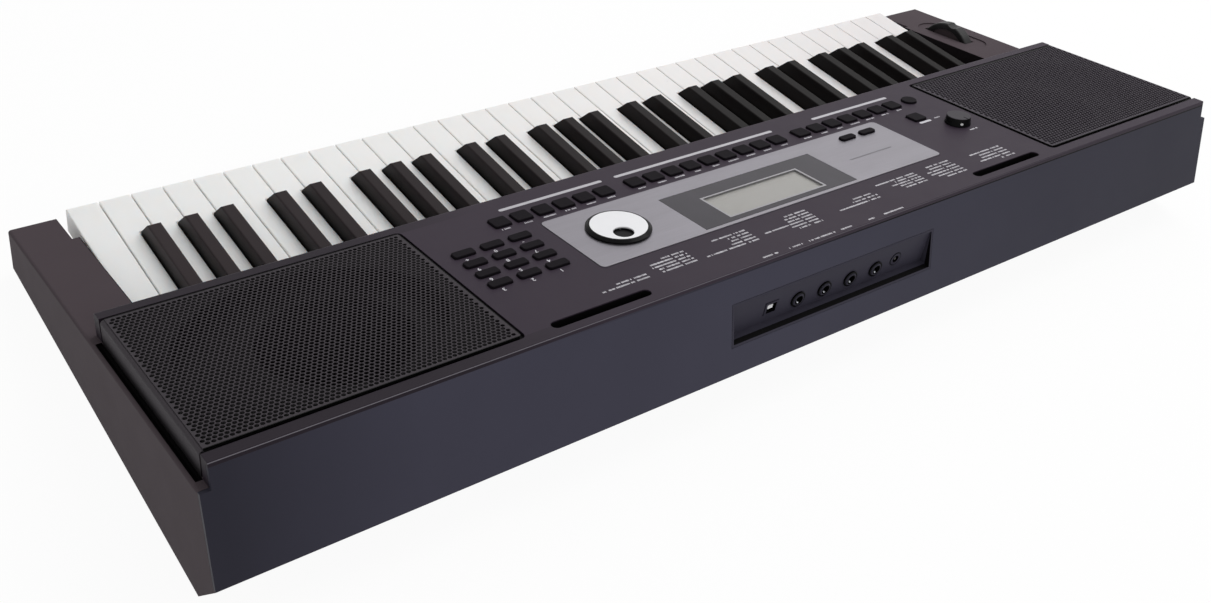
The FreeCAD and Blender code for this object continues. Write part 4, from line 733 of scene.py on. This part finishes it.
# Jack panel and sockets: a recessed plate with four 6.35 mm phone sockets, a square data socket and a
# barrel inlet for the mains adapter. They are black nylon mouldings with steel leaf springs inside.
plate_y, recess_top, socket_z = 159.75 * MM, 89.0 * MM, 71.0 * MM
phone_first, phone_pitch, phone_z = -47.7 * MM, 26.6 * MM, 69.3 * MM
inlet_x, data_x = -69.5 * MM, 58.5 * MM
wall_foot_y, wall_foot_z, wall_lean = 176 * MM, 36.5 * MM, 0.298
shade_lean, shade_gap, lip_depth = 0.15, 0.3 * MM, 0.25 * MM
plate_tones = tone(52, 50, 61), tone(60, 58, 69)
jack_grey, shader, place = new_finish("jack plate plastic", ior=1.2, specular_ior_level=0.3)
y, z = axes(place)[1:]
in_from_face = wall_foot_y - (z - wall_foot_z) * wall_lean - y
before_plate = (y - plate_y) > (recess_top - z) * shade_lean + shade_gap
in_shade = before_plate * (in_from_face > lip_depth)
pores = noise(place, 0.5 * MM, 2.0, 0.6)
feed(shader, base_color=mixed(in_shade, mixed(pores, *plate_tones), shade_black),
     roughness=0.46 + pores * 0.1, normal=relief(place, pores, 0.02 * MM, 0.3 * MM))
dress(jack_grey, "jack_panel")


def socket_finish(name, zones):
    """Black moulding; zones() gives the share and the colour of each zone from the x and z wires."""
    finish, shader, place = new_finish(name, ior=1.15, specular_ior_level=0.3)
    x, z = axes(place)[::2]
    grain = noise(place, 0.5 * MM, 2.0)
    base = mixed(grain, tone(4, 4, 5), tone(9, 9, 10))
    for share, colour in zones(x, z):
        base = mixed(share, base, colour)
    feed(shader, base_color=base, roughness=0.34 + grain * 0.1,
         normal=relief(place, grain, 0.01 * MM, 0.3 * MM))
    return finish


phone_ring, inlet_ring, inlet_pin = (3.9 * MM, 5.1 * MM), (3.0 * MM, 5.1 * MM), 1.05 * MM
mouth_half, tongue_half = (4.4 * MM, 4.0 * MM), (2.8 * MM, 1.7 * MM)


def phone_zones(x, z):
    from_first = x - (phone_first - phone_pitch / 2)
    nearest = from_first % phone_pitch - phone_pitch / 2
    return [(between(distance(nearest, z - phone_z), *phone_ring), plate_tones[1])]


def inlet_zones(x, z):
    radius = distance(x - inlet_x, z - socket_z)
    return [(between(radius, *inlet_ring), plate_tones[0]), (radius < inlet_pin, tone(84, 82, 80))]


def data_zones(x, z):
    off_x, off_z = abs(x - data_x), abs(z - socket_z)
    mouth = (off_x < mouth_half[0]) * (off_z < mouth_half[1])
    tongue = (off_x < tongue_half[0]) * (off_z < tongue_half[1])
    return [(1 - mouth, plate_tones[0]), (tongue, tone(236, 236, 238))]


dress(socket_finish("phone socket nylon", phone_zones), "phone_jacks")
dress(socket_finish("inlet nylon", inlet_zones), "dc_socket")
dress(socket_finish("data socket shell", data_zones), "usb_socket")

spring_tree, size = new_tree("socket_springs", Width="Float", Thickness="Float")
leaf_bend = {"Start": (-7.0, -3.0), "Start Handle": (-3.0, -1.7),
             "End Handle": (-1.4, -1.6), "End": (-0.4, -2.8)}
leaf_points = {point: (0.0, y * MM, z * MM) for point, (y, z) in leaf_bend.items()}
leaf = size["Mesh"].node("GeometryNodeCurvePrimitiveBezierSegment", {"mode": "POSITION"},
                         {"Resolution": 8, **leaf_points})
band = leaf.node("GeometryNodeCurvePrimitiveQuadrilateral", {},
                 {"Width": size["Width"], "Height": size["Thickness"]})
leaf = leaf.node("GeometryNodeCurveToMesh", {}, {"Curve": leaf, "Profile Curve": band, "Fill Caps": True})
springs = leaf.node("GeometryNodeInstanceOnPoints", {}, {"Points": size["Mesh"], "Instance": leaf})
close_tree(spring_tree, springs, plated_steel)
phone_mouth = plate_y + 1.8 * MM
mouths = [(phone_first + phone_pitch * i, phone_mouth, phone_z) for i in range(4)]
springs = grown(spring_tree, mouths, [], Width=1.8 * MM, Thickness=0.2 * MM)
placed("socket_springs", springs, Matrix.Identity(4), plated_steel, "case")

# Printing: silk-screened marks on the deck, in pale grey ink. The tone lists and the labels are rows of
# short strokes that spell nothing, and the number pad has plain digits for the player to read.
ink_grey, shader, place = new_finish("pale screen ink", specular_ior_level=0.3)
screen = noise(place, 0.25 * MM, 3.0, 0.7)
feed(shader, base_color=mixed(screen, tone(206, 204, 209), tone(184, 182, 188)),
     roughness=0.55 + screen * 0.2)
ink = 0.04 * MM
smallest_stroke, largest_stroke = (0.55, 0.72, 1.0), (1.1, 1.0, 1.0)
stroke_tree, size = new_tree("stroke_rows", Width="Float", Height="Float", Thickness="Float",
                             Spacing="Float", Gaps="Float", Seed="Int")
rows = size["Mesh"].node("GeometryNodeMeshToCurve", {}, {"Mesh": size["Mesh"]})
spots = rows.node("GeometryNodeCurveToPoints", {"mode": "LENGTH"},
                  {"Curve": rows, "Length": size["Spacing"]})
missing = rows.node("FunctionNodeRandomValue", {"data_type": "BOOLEAN"},
                    {6: size["Gaps"], 8: size["Seed"]}, 3)
spots = rows.node("GeometryNodeDeleteGeometry", {"domain": "POINT"},
                  {"Geometry": spots, "Selection": missing})
block = rows.node("ShaderNodeCombineXYZ", {},
                  {"X": size["Width"], "Y": size["Height"], "Z": size["Thickness"]})
stroke = rows.node("GeometryNodeMeshCube", {}, {"Size": block})
varied = rows.node("FunctionNodeRandomValue", {"data_type": "FLOAT_VECTOR"},
                   {0: smallest_stroke, 1: largest_stroke, 8: size["Seed"] + 1})
strokes = rows.node("GeometryNodeInstanceOnPoints", {},
                    {"Points": spots, "Instance": stroke, "Scale": varied})
close_tree(stroke_tree, strokes, ink_grey)

# Tone lists, in millimetres: the left end of each, then its lines' places up the slope and their lengths.
tone_lists = (
    (151.0, ((149.0, 38), (145.3, 24))),
    (110.0, ((149.2, 29), (145.6, 29), (142.0, 32), (138.3, 31), (134.6, 19))),
    (53.5, ((149.6, 47), (145.9, 21), (142.1, 19), (138.4, 18), (134.6, 30))),
    (-5.2, ((153.7, 22), (150.0, 26), (146.3, 49), (142.7, 23), (139.0, 23), (135.3, 20))),
    (-70.5, ((150.0, 43), (146.0, 25), (142.2, 21))),
    (-123.0, ((149.6, 23), (146.0, 25), (142.6, 31), (139.0, 25), (135.6, 42))),
    (-164.6, ((153.7, 22), (149.9, 28), (146.0, 32), (142.2, 32), (138.3, 25), (134.5, 27))),
    (-223.3, ((154.0, 15), (150.0, 36), (146.0, 30), (142.0, 28), (138.0, 35))))
number_length, number_gap = 9.5, 3.0
button_rows, button_pitch = ((-155.0, 7), (0.0, 9), (147.8, 6)), 18.3
label_along, label_half, label_step = 44.3, 3.0, 0.6
jack_marks = (55.7, 68.9), (32.3, 44.2), (-0.1, 24.8), (-16.8, -6.9), (-40.6, -35.2), (-72.1, -51.5)
jack_marks_along = 171.0
button_marks = (-146.0, -131.0, 55.0), (-229.0, -223.0, 72.0), (-238.0, -229.0, 104.5)

stroke_rows = []
for left, lines in tone_lists:
    for v, length in lines:
        number_end = left + number_length
        stroke_rows += [(left, number_end, v), (number_end + number_gap, left + length, v)]
for centre, count in button_rows:
    for i in range(count):
        middle = centre + (i - (count - 1) / 2) * button_pitch
        half = label_half + (i * 5 % 4) * label_step
        stroke_rows.append((middle - half, middle + half, label_along))
stroke_rows += [(left, right, jack_marks_along) for left, right in jack_marks]
stroke_rows += button_marks
points = [(end * MM, v * MM, ink / 2) for left, right, v in stroke_rows for end in (left, right)]
edges = [(2 * i, 2 * i + 1) for i in range(len(stroke_rows))]
lettering = grown(stroke_tree, points, edges, Width=0.85 * MM, Height=1.85 * MM, Thickness=ink * 1.2,
                  Spacing=1.0 * MM, Gaps=0.1, Seed=7)
placed("deck_lettering", lettering, on_deck, ink_grey, "case")

first_digit, digit_pitch = (194.7, 111.2), (22.7, 14.9)
digits = bmesh.new()
for i, sign in enumerate("123456789-0+"):
    word = bpy.data.curves.new("digit", "FONT")
    word.body = sign
    word.align_x = "CENTER"
    word.align_y = "CENTER"
    word.size = 4.8 * MM
    word.offset = 0.12 * MM
    word.extrude = ink / 2
    word.resolution_u = 3
    carrier = bpy.data.objects.new("digit", word)
    mesh = bpy.data.meshes.new_from_object(carrier)
    across = (first_digit[0] + digit_pitch[0] * (i % 3)) * MM
    along = (first_digit[1] - digit_pitch[1] * (i // 3)) * MM
    mesh.transform(Matrix.Translation((across, along, ink / 2)))
    digits.from_mesh(mesh)
    bpy.data.objects.remove(carrier)
digit_mesh = bpy.data.meshes.new("pad_digits")
digits.to_mesh(digit_mesh)
digits.free()
placed("pad_digits", digit_mesh, on_deck, ink_grey, "case")

# Row strips, start bar and panel rule: hot-stamped silver foil lines in front of the button rows, a white
# bar over the start button and a fine etched line on the display panel.
bar_foot, bar_weld = -0.01 * MM, 0.0005 * MM


def bars(spans, thickness):
    """Round-ended flat bars on the deck's face, from x0 to x1 and v0 to v1 in millimetres."""
    shape = bmesh.new()
    for x0, x1, v0, v1 in spans:
        radius = min(x1 - x0, v1 - v0) / 2 * MM
        corners = []
        for corner, (x, v) in enumerate(((x1, v1), (x0, v1), (x0, v0), (x1, v0))):
            inward = (radius if x == x0 else 0) - (radius if x == x1 else 0)
            upward = (v0 * MM + radius) if v == v0 else (v1 * MM - radius)
            for step in range(4):
                angle = math.radians(90 * corner + 30 * step)
                corners.append((x * MM + inward + radius * math.cos(angle),
                                upward + radius * math.sin(angle)))
        low = [shape.verts.new((x, v, bar_foot)) for x, v in corners]
        high = [shape.verts.new((x, v, thickness)) for x, v in corners]
        shape.faces.new(high)
        shape.faces.new(low[::-1])
        for i, j in loop_edges(len(corners)):
            shape.faces.new((low[i], low[j], high[j], high[i]))
    bmesh.ops.remove_doubles(shape, verts=shape.verts, dist=bar_weld)
    bmesh.ops.recalc_face_normals(shape, faces=shape.faces)
    mesh = bpy.data.meshes.new("bars")
    shape.to_mesh(mesh)
    shape.free()
    return mesh


silver_foil, shader, place = new_finish("hot stamped foil", metallic=0.7)
foil = noise(stretched(place, 0.1, 1.0, 1.0), 0.6 * MM, 4.0)
feed(shader, base_color=mixed(foil, tone(150, 148, 153), tone(182, 180, 185)), roughness=0.36 + foil * 0.16)
strip_along, strip_ends = (17.6, 20.9), ((92.3, 184.0), (-82.7, 80.4), (-220.2, -129.0))
strips = bars([(*ends, *strip_along) for ends in strip_ends], ink)
placed("row_strips", strips, on_deck, silver_foil, "case")
start_span, rule_span = (-217.0, -203.0, 71.6, 74.4), (-145.0, -97.5, 92.4, 94.0)
placed("start_bar", bars([start_span], ink), on_deck, ink_grey, "case")
etched_grey = moulded("etched panel rule", tone(96, 94, 100), 0.5, 0.4 * MM, 0.01 * MM)
panel_face = 0.4 * MM
rule = bars([rule_span], ink)
rule.transform(Matrix.Translation((0, 0, panel_face)))
placed("panel_rule", rule, on_deck, etched_grey, "case")

# Floor, lights and camera: a plain pale table under soft studio light. The camera stands behind the
# treble end, as in the photograph.
floor_half, floor_glow = 6.0, 0.94
floor_mesh = bpy.data.meshes.new("floor")
floor_corners = [(x * floor_half, y * floor_half, 0.0) for x, y in ((-1, -1), (1, -1), (1, 1), (-1, 1))]
floor_mesh.from_pydata(floor_corners, [], [(0, 1, 2, 3)])
floor = bpy.data.objects.new("floor", floor_mesh)
bpy.context.scene.collection.objects.link(floor)
floor_paper = bpy.data.materials.new("white floor paper")
floor_paper.use_nodes = True
floor_mesh.materials.append(floor_paper)
paper = floor_paper.node_tree
paper.nodes.clear()


def seen_directly(tree):
    """1 where a camera, glossy or transmission ray looks, else 0."""
    path = tree.nodes.new("ShaderNodeLightPath")
    rays = "Is Camera Ray", "Is Glossy Ray", "Is Transmission Ray"
    return sum(Wire(path.outputs[ray]) for ray in rays)


seen = seen_directly(paper)
matt = seen.node("ShaderNodeBsdfDiffuse", {}, {"Color": (0.9, 0.9, 0.9, 1.0)})
bright = seen.node("ShaderNodeEmission", {}, {"Color": (1.0, 1.0, 1.0, 1.0), "Strength": 1.0})
both = seen.node("ShaderNodeMixShader", {}, {0: seen * floor_glow, 1: matt, 2: bright})
paper.links.new(both.socket, paper.nodes.new("ShaderNodeOutputMaterial").inputs["Surface"])

world = bpy.data.worlds.new("studio")
bpy.context.scene.world = world
world.use_nodes = True
sky = world.node_tree
sky.nodes.clear()
seen = seen_directly(sky)
soft = seen.node("ShaderNodeBackground", {}, {"Color": (1.0, 1.0, 1.0, 1.0), "Strength": 0.5})
white = seen.node("ShaderNodeBackground", {}, {"Color": (1.0, 1.0, 1.0, 1.0), "Strength": 1.0})
both = seen.node("ShaderNodeMixShader", {}, {0: seen, 1: soft, 2: white})
sky.links.new(both.socket, sky.nodes.new("ShaderNodeOutputWorld").inputs["Surface"])

for name, spot, aim, width, depth, power in (
        ("softbox", (-1.0, -0.35, 1.7), (0.0, 0.0, 0.05), 1.9, 1.6, 24.5),
        ("fill", (0.4, 1.5, 1.1), (0.15, 0.1, 0.05), 0.9, 0.8, 4.5)):
    light = bpy.data.lights.new(name, "AREA")
    light.shape = "RECTANGLE"
    light.size = width
    light.size_y = depth
    light.energy = power
    lamp = bpy.data.objects.new(name, light)
    bpy.context.scene.collection.objects.link(lamp)
    lamp.location = spot
    lamp.rotation_euler = (Vector(aim) - Vector(spot)).to_track_quat("-Z", "Y").to_euler()

lens = bpy.data.cameras.new("camera")
lens.sensor_fit = "HORIZONTAL"
lens.sensor_width = 36.0
lens.lens = 39.601
lens.shift_x = 0.016928
lens.shift_y = -0.059042
lens.clip_start = 0.02
camera = bpy.data.objects.new("camera", lens)
camera.location = (0.649308, 0.616001, 0.639906)
camera.rotation_euler = [math.radians(turn) for turn in (53.6518, -8.2124, 144.2456)]
bpy.context.scene.collection.objects.link(camera)
bpy.context.scene.camera = camera
bpy.context.scene.view_settings.view_transform = "Standard"
